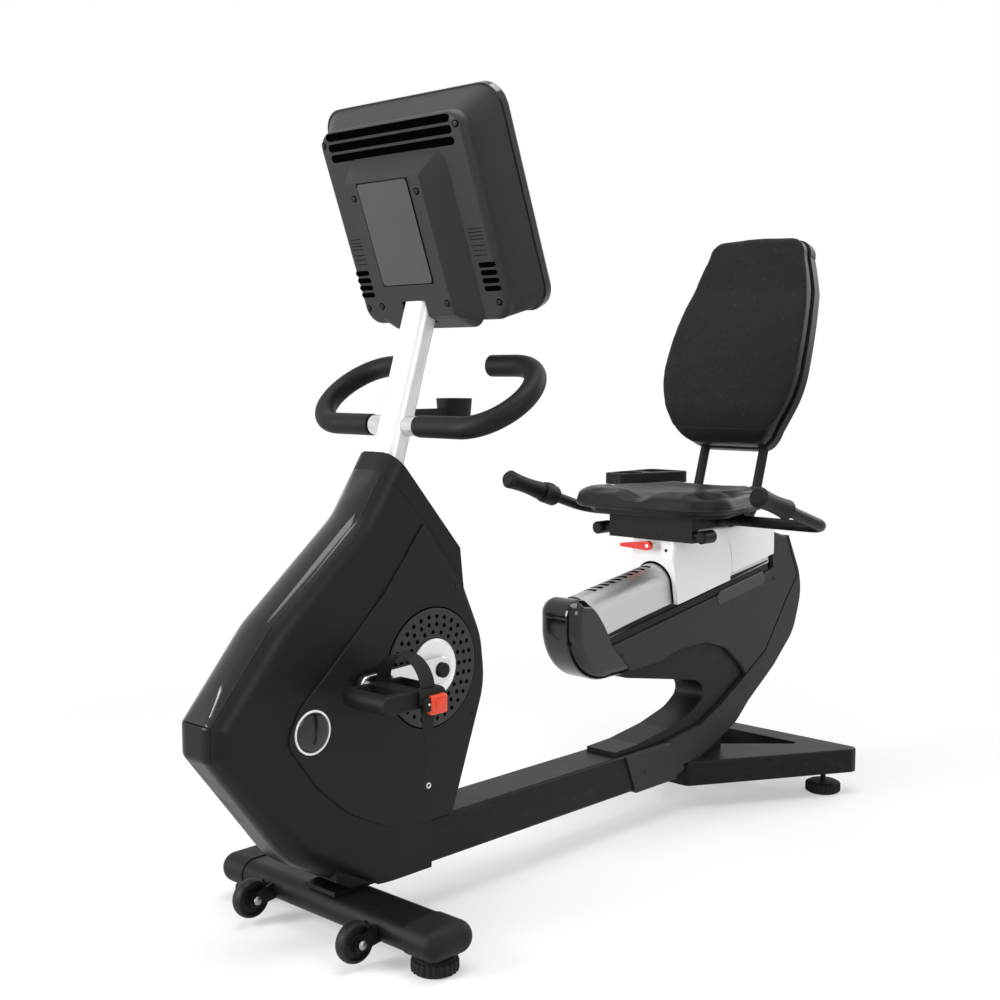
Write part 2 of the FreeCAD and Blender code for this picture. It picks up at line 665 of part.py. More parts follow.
def drive_frame():
    across = "mast_deep / 2 * cos(mast_tilt)"
    rise = "mast_deep / 2 * sin(mast_tilt)"
    post = plate("drive_post", "XZ_Plane", ("crank_x - 30", "beam_top"), ("crank_x + 60", "beam_top"),
                 ("crank_x + 44", "crank_z"), (MAST_FOOT_X + " + " + across, MAST_FOOT_Z + " + " + rise),
                 (MAST_FOOT_X + " - " + across, MAST_FOOT_Z + " - " + rise), ("crank_x - 34", "crank_z"),
                 thick="2 * post_half")
    brake_plate = plate("brake_plate", "XZ_Plane", ("crank_x + 20", "beam_top"), ("brake_x - 40", "beam_top"),
                        ("brake_x + 20", "brake_z - 12"), ("brake_x + 24", "brake_z", "brake_x", "brake_z + 24"),
                        ("crank_x + 20", "brake_z + 100"), thick="6")
    put(brake_plate, "0", "-19", "0")
    shell = rod("bottom_bracket", "shell_r", "70", "crank_x", "-24", "crank_z")
    boss = rod("brake_boss", "14", "16", "brake_x", "-26", "brake_z")
    idler_pin = rod("idler_pin", "5", "30", IDLER_X, "-48", IDLER_Z)
    frame = fuse("drive_frame_raw", post, brake_plate, shell, boss, idler_pin)
    bore = rod("bottom_bracket_bore", "bearing_r", "72", "crank_x", "-25", "crank_z")
    brake_bore = rod("brake_bore", "8 + run_gap", "40", "brake_x", "-40", "brake_z")
    node("drive_frame", cut("drive_frame_bored", frame, bore, brake_bore))


def crank_bearings():
    one = ring("bearing_right", "bearing_r", "axle_r + run_gap", "bearing_wide", "crank_x", "-24", "crank_z")
    other = ring("bearing_left", "bearing_r", "axle_r + run_gap", "bearing_wide", "crank_x", "46 - bearing_wide",
                 "crank_z")
    node("crank_bearings", group("bearings", one, other))


# ---- cranks and pedals ----

def crank_axle():
    node("crank_axle", rod("axle", "axle_r", "2 * axle_half", "crank_x", "-axle_half", "crank_z"))


def hub_discs():
    body = turned("hub_disc", ("axle_r + run_gap", "0"), ("hub_disc_r", "0"), ("hub_disc_r", "2"),
                  ("hub_disc_r - 4", "hub_disc_thick"), ("axle_r + run_gap", "hub_disc_thick"))
    put(body, "crank_x", "-64.5", "crank_z", AXIS_X, "90")
    node("crank_hub_discs", pair("hub_discs", body))


def crank_arm(name, way):
    """An arm from the axle to the pedal spindle, forward on the left and rearward on the right."""
    reach = way + "crank_long"
    body = new_body(name)
    sketch = new_sketch(body, name + "_outline", "XZ_Plane")
    outline(sketch, ("0", "-arm_boss_r"), (reach, "-arm_eye_r"), (reach + " " + (way or "+") + " arm_eye_r", "0", reach,
            "arm_eye_r"), ("0", "arm_boss_r"), (("-" if not way else "") + "arm_boss_r", "0", "0", "-arm_boss_r"))
    base = pad(body, sketch, "arm_thick")
    round_edges(body, base, "3", lambda edge: abs(abs(middle_of(edge).y) - size("arm_thick") / 2) < TOUCH)
    return body


def crank_arms():
    solids = []
    for name, side, way in (("left", "", ""), ("right", "-", "-")):
        arm = put(crank_arm("arm_" + name, way), "crank_x", side + "80", "crank_z")
        start = "80" if name == "left" else "-198"
        spindle = rod("spindle_" + name, "spindle_r", "118", "crank_x %s crank_long" % (way or "+"), start, "crank_z")
        whole = fuse("crank_" + name, arm, spindle)
        solids.append(cut("crank_bored_" + name, whole, rod("arm_bore_" + name, "axle_r + run_gap", "18", "crank_x",
                                                            side + "80 - 9", "crank_z")))
    node("crank_arms", group("arms", *solids))


def pedal(label, x, way):
    """A cage pedal: a rounded frame with two windows and a bore for its spindle."""
    body = new_body(label + "_body")
    sketch = new_sketch(body, label + "_section", "XZ_Plane")
    half = "pedal_long / 2"
    outline(sketch, ("-" + half + " + 12", "-pedal_thick / 2"), (half + " - 12", "-pedal_thick / 2"),
            (half, "0", half + " - 12", "pedal_thick / 2"), ("-" + half + " + 12", "pedal_thick / 2"),
            ("-" + half, "0", "-" + half + " + 12", "-pedal_thick / 2"))
    base = pad(body, sketch, "pedal_wide")
    round_edges(body, base, "4", lambda edge: abs(abs(middle_of(edge).y) - size("pedal_wide") / 2) < TOUCH)
    put(body, x, way + "pedal_y", "crank_z - pedal_drop")
    front = block(label + "_window_front", "pedal_long / 2 - 32", "pedal_wide - 28", "pedal_thick + 2", x + " + 16",
                  way + "pedal_y - pedal_wide / 2 + 14", "crank_z - pedal_drop - pedal_thick / 2 - 1")
    rear = block(label + "_window_rear", "pedal_long / 2 - 32", "pedal_wide - 28", "pedal_thick + 2",
                 x + " + 16 - pedal_long / 2", way + "pedal_y - pedal_wide / 2 + 14", "crank_z - pedal_drop - pedal_thick / 2 - 1")
    start = "pedal_y - pedal_wide / 2 - 1" if not way else "-198 - part_gap"
    bore = rod(label + "_bore", "spindle_r + run_gap", "199 + part_gap - pedal_y + pedal_wide / 2", x, start, "crank_z")
    node(label, cut(label + "_cage", body, front, rear, bore))


def pedal_strap(label, x, way):
    """A strap arching over the foot, its free end hanging from a buckle on the outer side."""
    half = "pedal_wide / 2"
    over = "(pedal_wide / 2 + strap_thick)"
    band = plate(label + "_band", "YZ_Plane", ("-" + half, "-8"), ("-" + half, "14"),
                 ("0", "14 + strap_high", half, "14"), (half, "-22"), (over, "-22"), (over, "14"),
                 ("0", "14 + strap_high + strap_thick", "-" + over, "14"), ("-" + over, "-8"), thick="strap_wide")
    put(band, x + " - 24", "pedal_y", "crank_z")
    tail = plate(label + "_tail", "XZ_Plane", ("-strap_wide / 2", "-21"), ("-3", "-strap_tail"), ("-6", "-strap_tail - 34"),
                 ("0", "-strap_tail - 40", "6", "-strap_tail - 34"), ("3", "-strap_tail"), ("strap_wide / 2", "-21"),
                 thick="strap_thick")
    put(tail, x + " - 24", "pedal_y + pedal_wide / 2 + strap_thick / 2", "crank_z")
    eye = rod(label + "_eye", "2.5", "20", x + " - 24", "pedal_y + pedal_wide / 2 - 8", "crank_z - strap_tail - 34")
    band = cut(label + "_punched", fuse(label + "_strap", band, tail), eye)
    buckle = block(label + "_buckle", "strap_wide + 12", "7", "24", x + " - 24 - strap_wide / 2 - 6",
                   "pedal_y + " + over, "crank_z - 14")
    both = group(label + "_solids", band, buckle)
    node(label, mirror(label + "_mirrored", both) if way else both)


def pedals():
    left = "crank_x + crank_long"
    right = "crank_x - crank_long"
    pedal("pedal_left", left, "")
    pedal("pedal_right", right, "-")
    pedal_strap("pedal_strap_left", left, "")
    pedal_strap("pedal_strap_right", right, "-")


# ---- belt drive and brake ----

BELT_RUN = "sqrt((brake_x - crank_x) ^ 2 + (brake_z - crank_z) ^ 2)"
BELT_SLOPE = "atan((brake_z - crank_z) / (brake_x - crank_x))"
BELT_WRAP = "acos((drive_pulley_r - brake_pulley_r) / %s)" % BELT_RUN
BELT_LOW = "(%s - %s)" % (BELT_SLOPE, BELT_WRAP)
BELT_HIGH = "(%s + %s)" % (BELT_SLOPE, BELT_WRAP)
IDLER_OUT = "(belt_thick + idler_r + 2 * part_gap)"
IDLER_X = ("(crank_x * 0.4 + brake_x * 0.6 + (drive_pulley_r * 0.4 + brake_pulley_r * 0.6 + %s) * cos(%s))"
           % (IDLER_OUT, BELT_LOW))
IDLER_Z = ("(crank_z * 0.4 + brake_z * 0.6 + (drive_pulley_r * 0.4 + brake_pulley_r * 0.6 + %s) * sin(%s))"
           % (IDLER_OUT, BELT_LOW))


def belt_loop(name, grow, wide):
    """The outline that a belt takes round both pulleys, grown all round."""
    def spot(centre, radius, angle):
        reach = "(%s + (%s))" % (radius, grow)
        return ("%s_x + %s * cos(%s)" % (centre, reach, angle), "%s_z + %s * sin(%s)" % (centre, reach, angle))
    body = new_body(name)
    sketch = new_sketch(body, name + "_path", "XZ_Plane", "-belt_y")
    far = "(%s + 180 deg)" % BELT_SLOPE
    outline(sketch, spot("crank", "drive_pulley_r", BELT_LOW), spot("brake", "brake_pulley_r", BELT_LOW),
            spot("brake", "brake_pulley_r", BELT_SLOPE) + spot("brake", "brake_pulley_r", BELT_HIGH),
            spot("crank", "drive_pulley_r", BELT_HIGH),
            spot("crank", "drive_pulley_r", far) + spot("crank", "drive_pulley_r", BELT_LOW))
    pad(body, sketch, wide)
    return body


def drive_belt():
    outer = belt_loop("belt_outer", "belt_thick + part_gap", "belt_wide")
    inner = belt_loop("belt_inner", "part_gap", "belt_wide + 2")
    node("drive_belt", cut("belt_band", outer, inner))


def drive_pulley():
    half = "(belt_wide / 2 + 1)"
    body = turned("drive_pulley_body", ("axle_r + run_gap", "-" + half + " - 3"), ("24", "-" + half + " - 3"),
                  ("24", "-2"), ("drive_pulley_r - 12", "-2"), ("drive_pulley_r - 12", "-" + half),
                  ("drive_pulley_r", "-" + half), ("drive_pulley_r", half), ("drive_pulley_r - 12", half),
                  ("drive_pulley_r - 12", "2"), ("24", "2"), ("24", half + " - 2"), ("axle_r + run_gap", half + " - 2"))
    put(body, "crank_x", "belt_y", "crank_z", AXIS_X, "90")
    holes = [rod("pulley_hole_%d" % i, "17", "20", "crank_x + 62 * cos(%d)" % (60 * i), "belt_y - 10",
                 "crank_z + 62 * sin(%d)" % (60 * i)) for i in range(6)]
    node("drive_pulley", cut("drive_pulley_lightened", body, *holes))


def flywheel():
    """A cup-shaped flywheel on its shaft with the small pulley at the far end."""
    near = "(flywheel_wide / 2)"
    body = turned("flywheel_body", ("0", "-" + near + " - 47"), ("8", "-" + near + " - 47"), ("8", near + " - 8"),
                  ("flywheel_r - rim_thick", near + " - 8"), ("flywheel_r - rim_thick", "-" + near),
                  ("flywheel_r", "-" + near), ("flywheel_r", near), ("0", near))
    put(body, "brake_x", "flywheel_y", "brake_z", AXIS_X, "-90")
    pulley = ring("brake_pulley", "brake_pulley_r", "8", "belt_wide", "brake_x", "belt_y - belt_wide / 2", "brake_z")
    node("flywheel", fuse("flywheel_whole", body, pulley))


def generator_stator():
    coil = ring("stator_coil", "flywheel_r - rim_thick - 3", "30", "22", "brake_x", "4", "brake_z")
    arms = [rod("stator_bolt_%d" % i, "4", "21", "brake_x + 44 * cos(%s)" % angle, "-16", "brake_z + 44 * sin(%s)" % angle)
            for i, angle in enumerate(("120", "180", "240"))]
    node("generator_stator", fuse("stator", coil, *arms))


def belt_idler():
    body = turned("idler_body", ("5 + run_gap", "-8"), ("idler_r", "-8"), ("idler_r", "8"), ("5 + run_gap", "8"))
    node("belt_idler", put(body, IDLER_X, "belt_y", IDLER_Z, AXIS_X, "90"))


# ---- front housing ----

HOOD_LOW_REAR = [("hood_rear_x", "beam_top + 1"), ("hood_heel_x", "beam_top + 1"), ("hood_heel_x", "hood_bottom")]
HOOD_REST = [("keel_x", "hood_bottom"), ("chin_x", "chin_z"), ("nose_x", "nose_low_z"), ("nose_x", "nose_top_z"),
             ("brow_x", "brow_z"), ("hood_neck_x", "hood_neck_z"), ("hood_top_x", "hood_top_z"),
             ("collar_tip_x", "collar_tip_z"),
             ("hood_lip_x", "hood_lip_z"), ("hood_waist_x", "hood_waist_z"), ("hood_back_x", "hood_back_z")]
HOOD = HOOD_LOW_REAR + HOOD_REST
BENDS = (("chin_x", "chin_z"), ("brow_x", "brow_z"), ("hood_neck_x", "hood_neck_z"), ("hood_waist_x", "hood_waist_z"),
         ("hood_back_x", "hood_back_z"))
NOSE = (("nose_x", "nose_low_z"), ("nose_x", "nose_top_z"))


def hood_block(name, by):
    """The housing's whole form, moved in by a wall."""
    corners = inset(HOOD, by) if by != "0" else HOOD
    body = plate(name, "XZ_Plane", corners[0], *corners[1:], thick="2 * hood_half_w - 2 * (%s)" % by)
    moved = dict(zip(HOOD, corners))
    base = round_edges(body, body.Tip, "hood_bend", at_corners(*[moved[corner] for corner in BENDS]))
    base = round_edges(body, base, "nose_bend", at_corners(*[moved[corner] for corner in NOSE]))
    side = size("hood_half_w - (%s)" % by)
    front_from = size(moved[("hood_top_x", "hood_top_z")][0])
    floor = size(moved[("keel_x", "hood_bottom")][1])
    rear_low = size("beam_top + 4")
    rear_high = size(moved[("hood_lip_x", "hood_lip_z")][1])
    heel = size("hood_heel_x")

    def on_front(edge):
        ends = [vertex.Point for vertex in edge.Vertexes]
        middle = middle_of(edge)
        return (abs(abs(middle.y) - side) < TOUCH and min(end.x for end in ends) >= front_from - 1
                and middle.z > floor + 0.1)

    def on_rear(edge):
        ends = [vertex.Point for vertex in edge.Vertexes]
        middle = middle_of(edge)
        return (abs(abs(middle.y) - side) < TOUCH and max(end.x for end in ends) < heel
                and rear_low < middle.z < rear_high)

    base = round_edges(body, base, "hood_round - (%s)" % by, on_front)
    base = round_edges(body, base, "hood_rear_round - (%s)" % by, on_rear)
    body.Tip = base
    return body


def collar_zone(name, drop):
    """The region above the seam between the housing and its top collar."""
    low = " - (%s)" % drop
    return plate(name, "XZ_Plane", ("hood_lip_x - 60", "hood_lip_z - 46" + low), ("hood_lip_x", "hood_lip_z" + low),
                 ("413", "715" + low), ("495", "793" + low), ("502", "815" + low), ("560", "900" + low),
                 ("400", "960"), ("hood_lip_x - 60", "900"), thick="2 * hood_half_w + 20")


def front_housing():
    outer = hood_block("hood_outer", "0")
    inner = hood_block("hood_inner", "skin_wall")
    shell = cut("hood_shell", outer, inner)
    beam_way = block("hood_beam_way", "beam_front + part_gap - hood_rear_x + 60", "2 * beam_half_w + 2 * part_gap", "beam_top - 40", "hood_rear_x - 60",
                     "-beam_half_w - part_gap", "40.5")
    stud_way = rod("hood_axle_way", "axle_r + 6", "2 * hood_half_w + 20", "crank_x", "-hood_half_w - 10", "crank_z")
    mast_way = block("hood_mast_way", "mast_deep + 1", "mast_wide + 1", "300", "0", "0", "0")
    put(mast_way, "mast_x - (mast_deep / 2 + 0.5) * cos(mast_tilt)", "-mast_wide / 2 - 0.5",
        "mast_z - (mast_deep / 2 + 0.5) * sin(mast_tilt)", AXIS_Y, "-mast_tilt")
    mast_way.setExpression("Placement.Base.x", cells("mast_x - (mast_deep / 2 + 0.5) * cos(mast_tilt) + 80 * sin(mast_tilt)"))
    mast_way.setExpression("Placement.Base.z", cells("mast_z - (mast_deep / 2 + 0.5) * sin(mast_tilt) - 80 * cos(mast_tilt)"))
    foot_way = block("hood_post_way", "93", "2 * post_half + 2 * part_gap", "16", "crank_x - 31", "-post_half - part_gap",
                     "beam_top - 1")
    opened = cut("hood_opened", shell, beam_way, stud_way, mast_way, foot_way)
    node("shroud_collar", common("collar_shell", opened, collar_zone("collar_keep", "0")))
    rest = cut("hood_rest", opened, collar_zone("collar_away", "seam_gap * 1.4"))
    front = [("440", "800"), ("508", "705"), ("nose_x - 48", "nose_top_z - 18"), ("nose_x - 44", "nose_low_z + 16"),
             ("chin_x - 34", "chin_z + 34"), ("keel_x - 12", "hood_bottom + 42"), ("keel_x", "hood_bottom - 26"),
             ("chin_x + 40", "chin_z - 44"), ("nose_x + 40", "nose_low_z - 20"), ("nose_x + 40", "nose_top_z + 18"),
             ("hood_neck_x + 30", "hood_neck_z + 40"), ("hood_top_x + 20", "hood_top_z + 44")]
    strip = plate("front_strip", "XZ_Plane", front[0], *front[1:], thick="2 * spine_half_w")
    strip_away = plate("front_strip_away", "XZ_Plane", front[0], *front[1:], thick="2 * spine_half_w + 2 * seam_gap")
    spine = common("spine_shell", rest, strip)
    nose_zone = block("nose_zone", "500", "200", "nose_top_z - seam_gap / 2", "keel_x - 60", "-100", "0")
    spine_zone = block("spine_zone", "500", "200", "600", "keel_x - 200", "-100", "nose_top_z + seam_gap / 2")
    node("nose_bumper", common("nose_shell", spine, nose_zone))
    node("front_spine", common("front_spine_shell", spine, spine_zone))
    sides = cut("hood_sides", rest, strip_away)
    half_zone = block("left_zone", "800", "200", "1000", "200", "seam_gap / 2", "0")
    node("shroud_left", common("shroud_left_shell", sides, half_zone))
    other_zone = block("right_zone", "800", "200", "1000", "200", "-200 - seam_gap / 2", "0")
    node("shroud_right", common("shroud_right_shell", sides, other_zone))


def side_panels():
    """A raised panel on each flank of the housing."""
    corners = [("hood_rear_x + 9", "beam_top + 2"), ("hood_rear_x + 64", "beam_top + 2"), ("494", "177"), ("596", "228"),
               ("661", "285"), ("726", "374"), ("700", "425"), ("626", "490"), ("513", "594"), ("466", "650"),
               ("420", "708"), ("hood_lip_x + 12", "hood_lip_z - 6"), ("hood_waist_x + 9", "hood_waist_z"),
               ("hood_back_x + 9", "hood_back_z")]
    body = plate("side_panel", "XZ_Plane", corners[0], *corners[1:], thick="panel_thick")
    base = round_edges(body, body.Tip, "hood_bend - 9",
                       at_corners(("hood_waist_x + 9", "hood_waist_z"), ("hood_back_x + 9", "hood_back_z")))
    base = round_edges(body, base, "panel_bend", at_corners(("726", "374")))
    base = round_edges(body, base, "3 * panel_bend", at_corners(("700", "425")))
    base = round_edges(body, base, "6 * panel_bend", at_corners(("661", "285"), ("596", "228"), ("494", "177"), ("513", "594")))
    front = size("-panel_thick / 2")
    body.Tip = round_edges(body, base, "panel_round", lambda edge: abs(middle_of(edge).y - front) < TOUCH)
    put(body, "0", "-hood_half_w - panel_thick / 2", "0")
    hole = rod("panel_hole", "axle_r + 6", "20", "crank_x", "-hood_half_w - 15", "crank_z")
    node("side_panels", pair("panels", cut("side_panel_bored", body, hole)))


def crank_guards():
    body = turned("crank_guard", ("axle_r + 6", "0"), ("guard_r", "0"), ("guard_r", "1.5"),
                  ("guard_r - 1.5", "guard_thick"), ("axle_r + 6", "guard_thick"))
    put(body, "crank_x", "-hood_half_w - panel_thick", "crank_z", AXIS_X, "90")
    node("crank_guards", pair("guards", body))


# ---- mast, handlebar and cup ----

def mast_prism(name, grow, low, high, rounded):
    """The mast's section swept along it, grown all round."""
    body = new_body(name)
    sketch = new_sketch(body, name + "_section", "XY_Plane", "-(%s)" % low)
    across = "mast_deep / 2 + (%s)" % grow
    wide = "mast_wide / 2 + (%s)" % grow
    outline(sketch, ("-(%s)" % across, "-(%s)" % wide), (across, "-(%s)" % wide), (across, wide),
            ("-(%s)" % across, wide))
    base = pad(body, sketch, "(%s) + (%s)" % (low, high), "One side")
    if rounded:
        round_edges(body, base, "mast_round + (%s)" % grow, runs_along(AXIS_Z))
    return put(body, "mast_x", "0", "mast_z", AXIS_Y, "-mast_tilt")


def mast():
    outer = mast_prism("mast_outer", "0", "mast_low", "mast_high", True)
    inner = mast_prism("mast_inner", "-mast_wall", "mast_low + 1", "mast_high + 1", True)
    tube = cut("mast_tube", outer, inner)
    hole = rod("mast_bar_hole", "grip_tube_r + run_gap", "mast_wide + 4", "grip_bar_x", "-mast_wide / 2 - 2", "grip_bar_z")
    node("mast", cut("mast_bored", tube, hole))


def loop_path(name, radius, start, lift, *steps):
    """A tube in the handlebar's own sloping plane."""
    body = pipe(name, "XY_Plane", ("XZ_Plane", lift, start[0], "0"), radius, start, *steps)
    return put(body, "grip_bar_x", "0", "grip_bar_z", AXIS_Y, "grip_tilt")


def handlebar():
    far = "-2 * loop_r"
    bar = loop_path("bar_tube", "grip_tube_r", (far, "-loop_end"), "loop_end", (far, "-loop_y"),
                    ("-loop_r", "-loop_y - loop_r", "0", "-loop_y"), ("0", "loop_y"),
                    ("-loop_r", "loop_y + loop_r", far, "loop_y"), (far, "loop_end"))
    ferrule = rod("ferrule", "ferrule_r", "grip_from - mast_wide / 2 - 6", "grip_bar_x", "mast_wide / 2 + part_gap",
                  "grip_bar_z")
    node("handlebar", fuse("handlebar_whole", bar, ferrule, mirror("ferrule_other", ferrule)))


def handlebar_grips():
    far = "-2 * loop_r"
    turn = ("-loop_r", "loop_y + loop_r", far, "loop_y")
    foam = loop_path("grip_foam", "grip_r", ("0", "grip_from"), "-grip_from", ("0", "loop_y"), turn,
                     (far, "loop_end - 4"))
    core = loop_path("grip_core", "grip_tube_r + run_gap", ("0", "grip_from - 1"), "1 - grip_from", ("0", "loop_y"), turn,
                     (far, "loop_end - run_gap"))
    node("handlebar_grips", pair("grips", cut("grip_left", foam, core)))


def accessory_cup():
    cup = turned("cup_body", ("0", "0"), ("hook_r - 4", "0"), ("hook_r", "6"), ("hook_r + 3", "42"), ("hook_r", "42"),
                 ("hook_r - 3", "6"), ("0", "6"))
    put(cup, "284", "0", "884")
    arm = block("cup_arm", "110", "24", "16", "284 + hook_r - 3", "-12", "892")
    away = mast_prism("cup_away", "0", "20", "160", False)
    node("accessory_cup", cut("cup_fitted", fuse("cup_and_arm", cup, arm), away))


# ---- console ----

def console_frame(thing, x="0", y="0", z="0"):
    """Lay a thing in the console's own leaning frame: x out of its back, z up its face."""
    return put(thing, "console_x + (%s) * cos(console_tilt) + (%s) * sin(console_tilt)" % (x, z), y,
               "console_z - (%s) * sin(console_tilt) + (%s) * cos(console_tilt)" % (x, z), AXIS_Y, "console_tilt")


def rounded_rect(sketch, half, low, top, corner):
    """An upright rectangle with round corners."""
    cut_in = "(%s) * 0.2929" % corner
    inner = "(%s) - (%s)" % (half, corner)
    base = "(%s) + (%s)" % (low, corner)
    roof = "(%s) - (%s)" % (top, corner)
    wide = "(%s) - %s" % (half, cut_in)
    steps = [(inner, low), (wide, "(%s) + %s" % (low, cut_in), half, base), (half, roof),
             (wide, "(%s) - %s" % (top, cut_in), inner, top), ("-(%s)" % inner, top),
             ("-(%s)" % wide, "(%s) - %s" % (top, cut_in), "-(%s)" % half, roof), ("-(%s)" % half, base),
             ("-(%s)" % wide, "(%s) + %s" % (low, cut_in), "-(%s)" % inner, low)]
    return outline(sketch, ("-(%s)" % inner, low), *steps)


def console_form(name, by, front):
    """The back housing's form, moved in by a wall: a straight side that flares to the bezel."""
    body = new_body(name)
    back = "housing_half_w - (%s)" % by
    near = new_sketch(body, name + "_back", "YZ_Plane", "-housing_deep")
    rounded_rect(near, back, "(%s) - housing_low" % by, "housing_top - (%s)" % by, "34 - (%s)" % by)
    far = new_sketch(body, name + "_front", "YZ_Plane", "-rim_back + (%s)" % front)
    rounded_rect(far, "rim_half_w - 4 - (%s)" % by, "(%s) - rim_low + 3" % by, "rim_top - 3 - (%s)" % by,
                 "rim_corner - (%s)" % by)
    doc.recompute()
    loft = body.newObject("PartDesign::AdditiveLoft", name + "_flare")
    loft.Profile = far
    loft.Sections = [near]
    loft.Ruled = True
    doc.recompute()
    side = new_sketch(body, name + "_side", "YZ_Plane", "-housing_deep")
    rounded_rect(side, back, "(%s) - housing_low" % by, "housing_top - (%s)" % by, "34 - (%s)" % by)
    base = pad(body, side, "housing_deep - (%s)" % by, "One side")
    edge_x = size("-(%s)" % by)
    round_edges(body, base, "housing_round - (%s) / 2" % by, lambda edge: abs(middle_of(edge).x - edge_x) < TOUCH)
    hump = new_sketch(body, name + "_hump_root", "YZ_Plane", "-(%s)" % by)
    rounded_rect(hump, "hump_half_w - (%s)" % by, "(%s) - housing_low - 9" % by, "-hump_top - (%s)" % by, "34")
    pad(body, hump, "hump_high", "One side", "-hump_draft")
    return console_frame(body)


def console_housing():
    shell = cut("console_shell", console_form("console_outer", "0", "0"), console_form("console_inner", "skin_wall", "-1"))
    way = mast_prism("console_mast_way", "0.5", "-100", "mast_high + 0.5", False)
    slots = new_body("console_slots")
    sketch = new_sketch(slots, "console_slot_rows", "YZ_Plane", "-housing_deep / 2")
    for row in range(3):
        stadium(sketch, "0", "2 - slot_pitch * %d" % row, "2 * slot_half", "slot_high")
    pad(slots, sketch, "housing_deep", "One side")
    console_frame(slots)
    side_slots = []
    for row in range(4):
        bar = block("side_slot_%d" % row, "30", "36", "6", "0", "0", "0")
        console_frame(bar, "-skin_wall - 6", "142", "-294 + 14 * %d" % row)
        side_slots += [bar, mirror("side_slot_other_%d" % row, bar)]
    node("console_housing", cut("console_opened", shell, way, slots, *side_slots))


def console_bezel():
    body = new_body("bezel_body")
    sketch = new_sketch(body, "bezel_rim", "YZ_Plane", "-rim_back - rim_deep")
    rounded_rect(sketch, "rim_half_w", "-rim_low", "rim_top", "rim_corner")
    base = pad(body, sketch, "rim_deep", "One side")
    face = size("-rim_back - rim_deep")
    round_edges(body, base, "6", lambda edge: abs(middle_of(edge).x - face) < TOUCH)
    console_frame(body)
    hollow = block("bezel_hollow", "rim_deep - 6", "2 * rim_half_w - 28", "rim_low + rim_top - 28", "0", "0", "0")
    console_frame(hollow, "6 - rim_back - rim_deep + 0.001", "14 - rim_half_w", "14 - rim_low")
    screen = block("bezel_screen_seat", "4", "380 + 2 * part_gap", "170 + 2 * part_gap", "0", "0", "0")
    console_frame(screen, "-rim_back - rim_deep - 1", "-190 - part_gap", "-150 - part_gap")
    keys = block("bezel_key_seat", "3", "380 + 2 * part_gap", "140 + 2 * part_gap", "0", "0", "0")
    console_frame(keys, "-rim_back - rim_deep - 1", "-190 - part_gap", "-320 - part_gap")
    node("console_bezel", cut("bezel_hollowed", body, hollow, screen, keys))


def console_screen():
    glass = block("screen_glass", "3", "380", "170", "0", "0", "0")
    console_frame(glass, "-rim_back - rim_deep", "-190", "-150")
    sheet = block("key_sheet", "2", "380", "140", "0", "0", "0")
    console_frame(sheet, "-rim_back - rim_deep", "-190", "-320")
    keys = []
    for row in range(2):
        for column in range(6):
            key = block("key_%d_%d" % (row, column), "1.5", "36", "26", "0", "0", "0")
            keys.append(console_frame(key, "-rim_back - rim_deep - 1.5", "-162 + 57.6 * %d" % column,
                                      "-290 + 58 * %d" % row))
    node("console_screen", group("screen_and_keys", glass, fuse("key_panel", sheet, *keys)))


def console_hatch():
    body = new_body("hatch_body")
    sketch = new_sketch(body, "hatch_outline", "YZ_Plane", "hump_high - (%s)" % "skin_wall - 3")
    rounded_rect(sketch, "hatch_half_w", "-hatch_low", "-hatch_top", "8")
    base = pad(body, sketch, "hatch_thick", "One side")
    face = size("hump_high + hatch_thick")
    round_edges(body, base, "1", lambda edge: abs(middle_of(edge).x - face) < TOUCH)
    node("console_hatch", console_frame(body))


def control_board():
    board = block("board", "1.6", "180", "110", "0", "0", "0")
    console_frame(board, "-rim_back - 2", "-90", "-200")
    posts = [console_frame(block("board_post_%d" % i, "rim_deep - 8", "6", "6", "0", "0", "0"), "6 - rim_back - rim_deep",
                           "%d" % y, "%d" % z) for i, (y, z) in enumerate(((-86, -196), (80, -196), (-86, -98), (80, -98)))]
    node("control_board", fuse("board_whole", board, *posts))


# ---- rear frame, rail and covers ----

def rail_spot(x, z):
    """A point of the rail's own frame: x forward along it, z out of its top."""
    return ("rail_x + (%s) * cos(rail_tilt) + (%s) * sin(rail_tilt)" % (x, z),
            "rail_z - (%s) * sin(rail_tilt) + (%s) * cos(rail_tilt)" % (x, z))


def rail_frame(thing, x="0", y="0", z="0"):
    """Lay a thing in the rail's own frame."""
    across, up = rail_spot(x, z)
    return put(thing, across, y, up, AXIS_Y, "rail_tilt")


def rail_block(name, long, wide, high, x, y, z):
    """A box in the rail's own frame, by its lowest corner."""
    return rail_frame(block(name, long, wide, high, "0", "0", "0"), x, y, z)


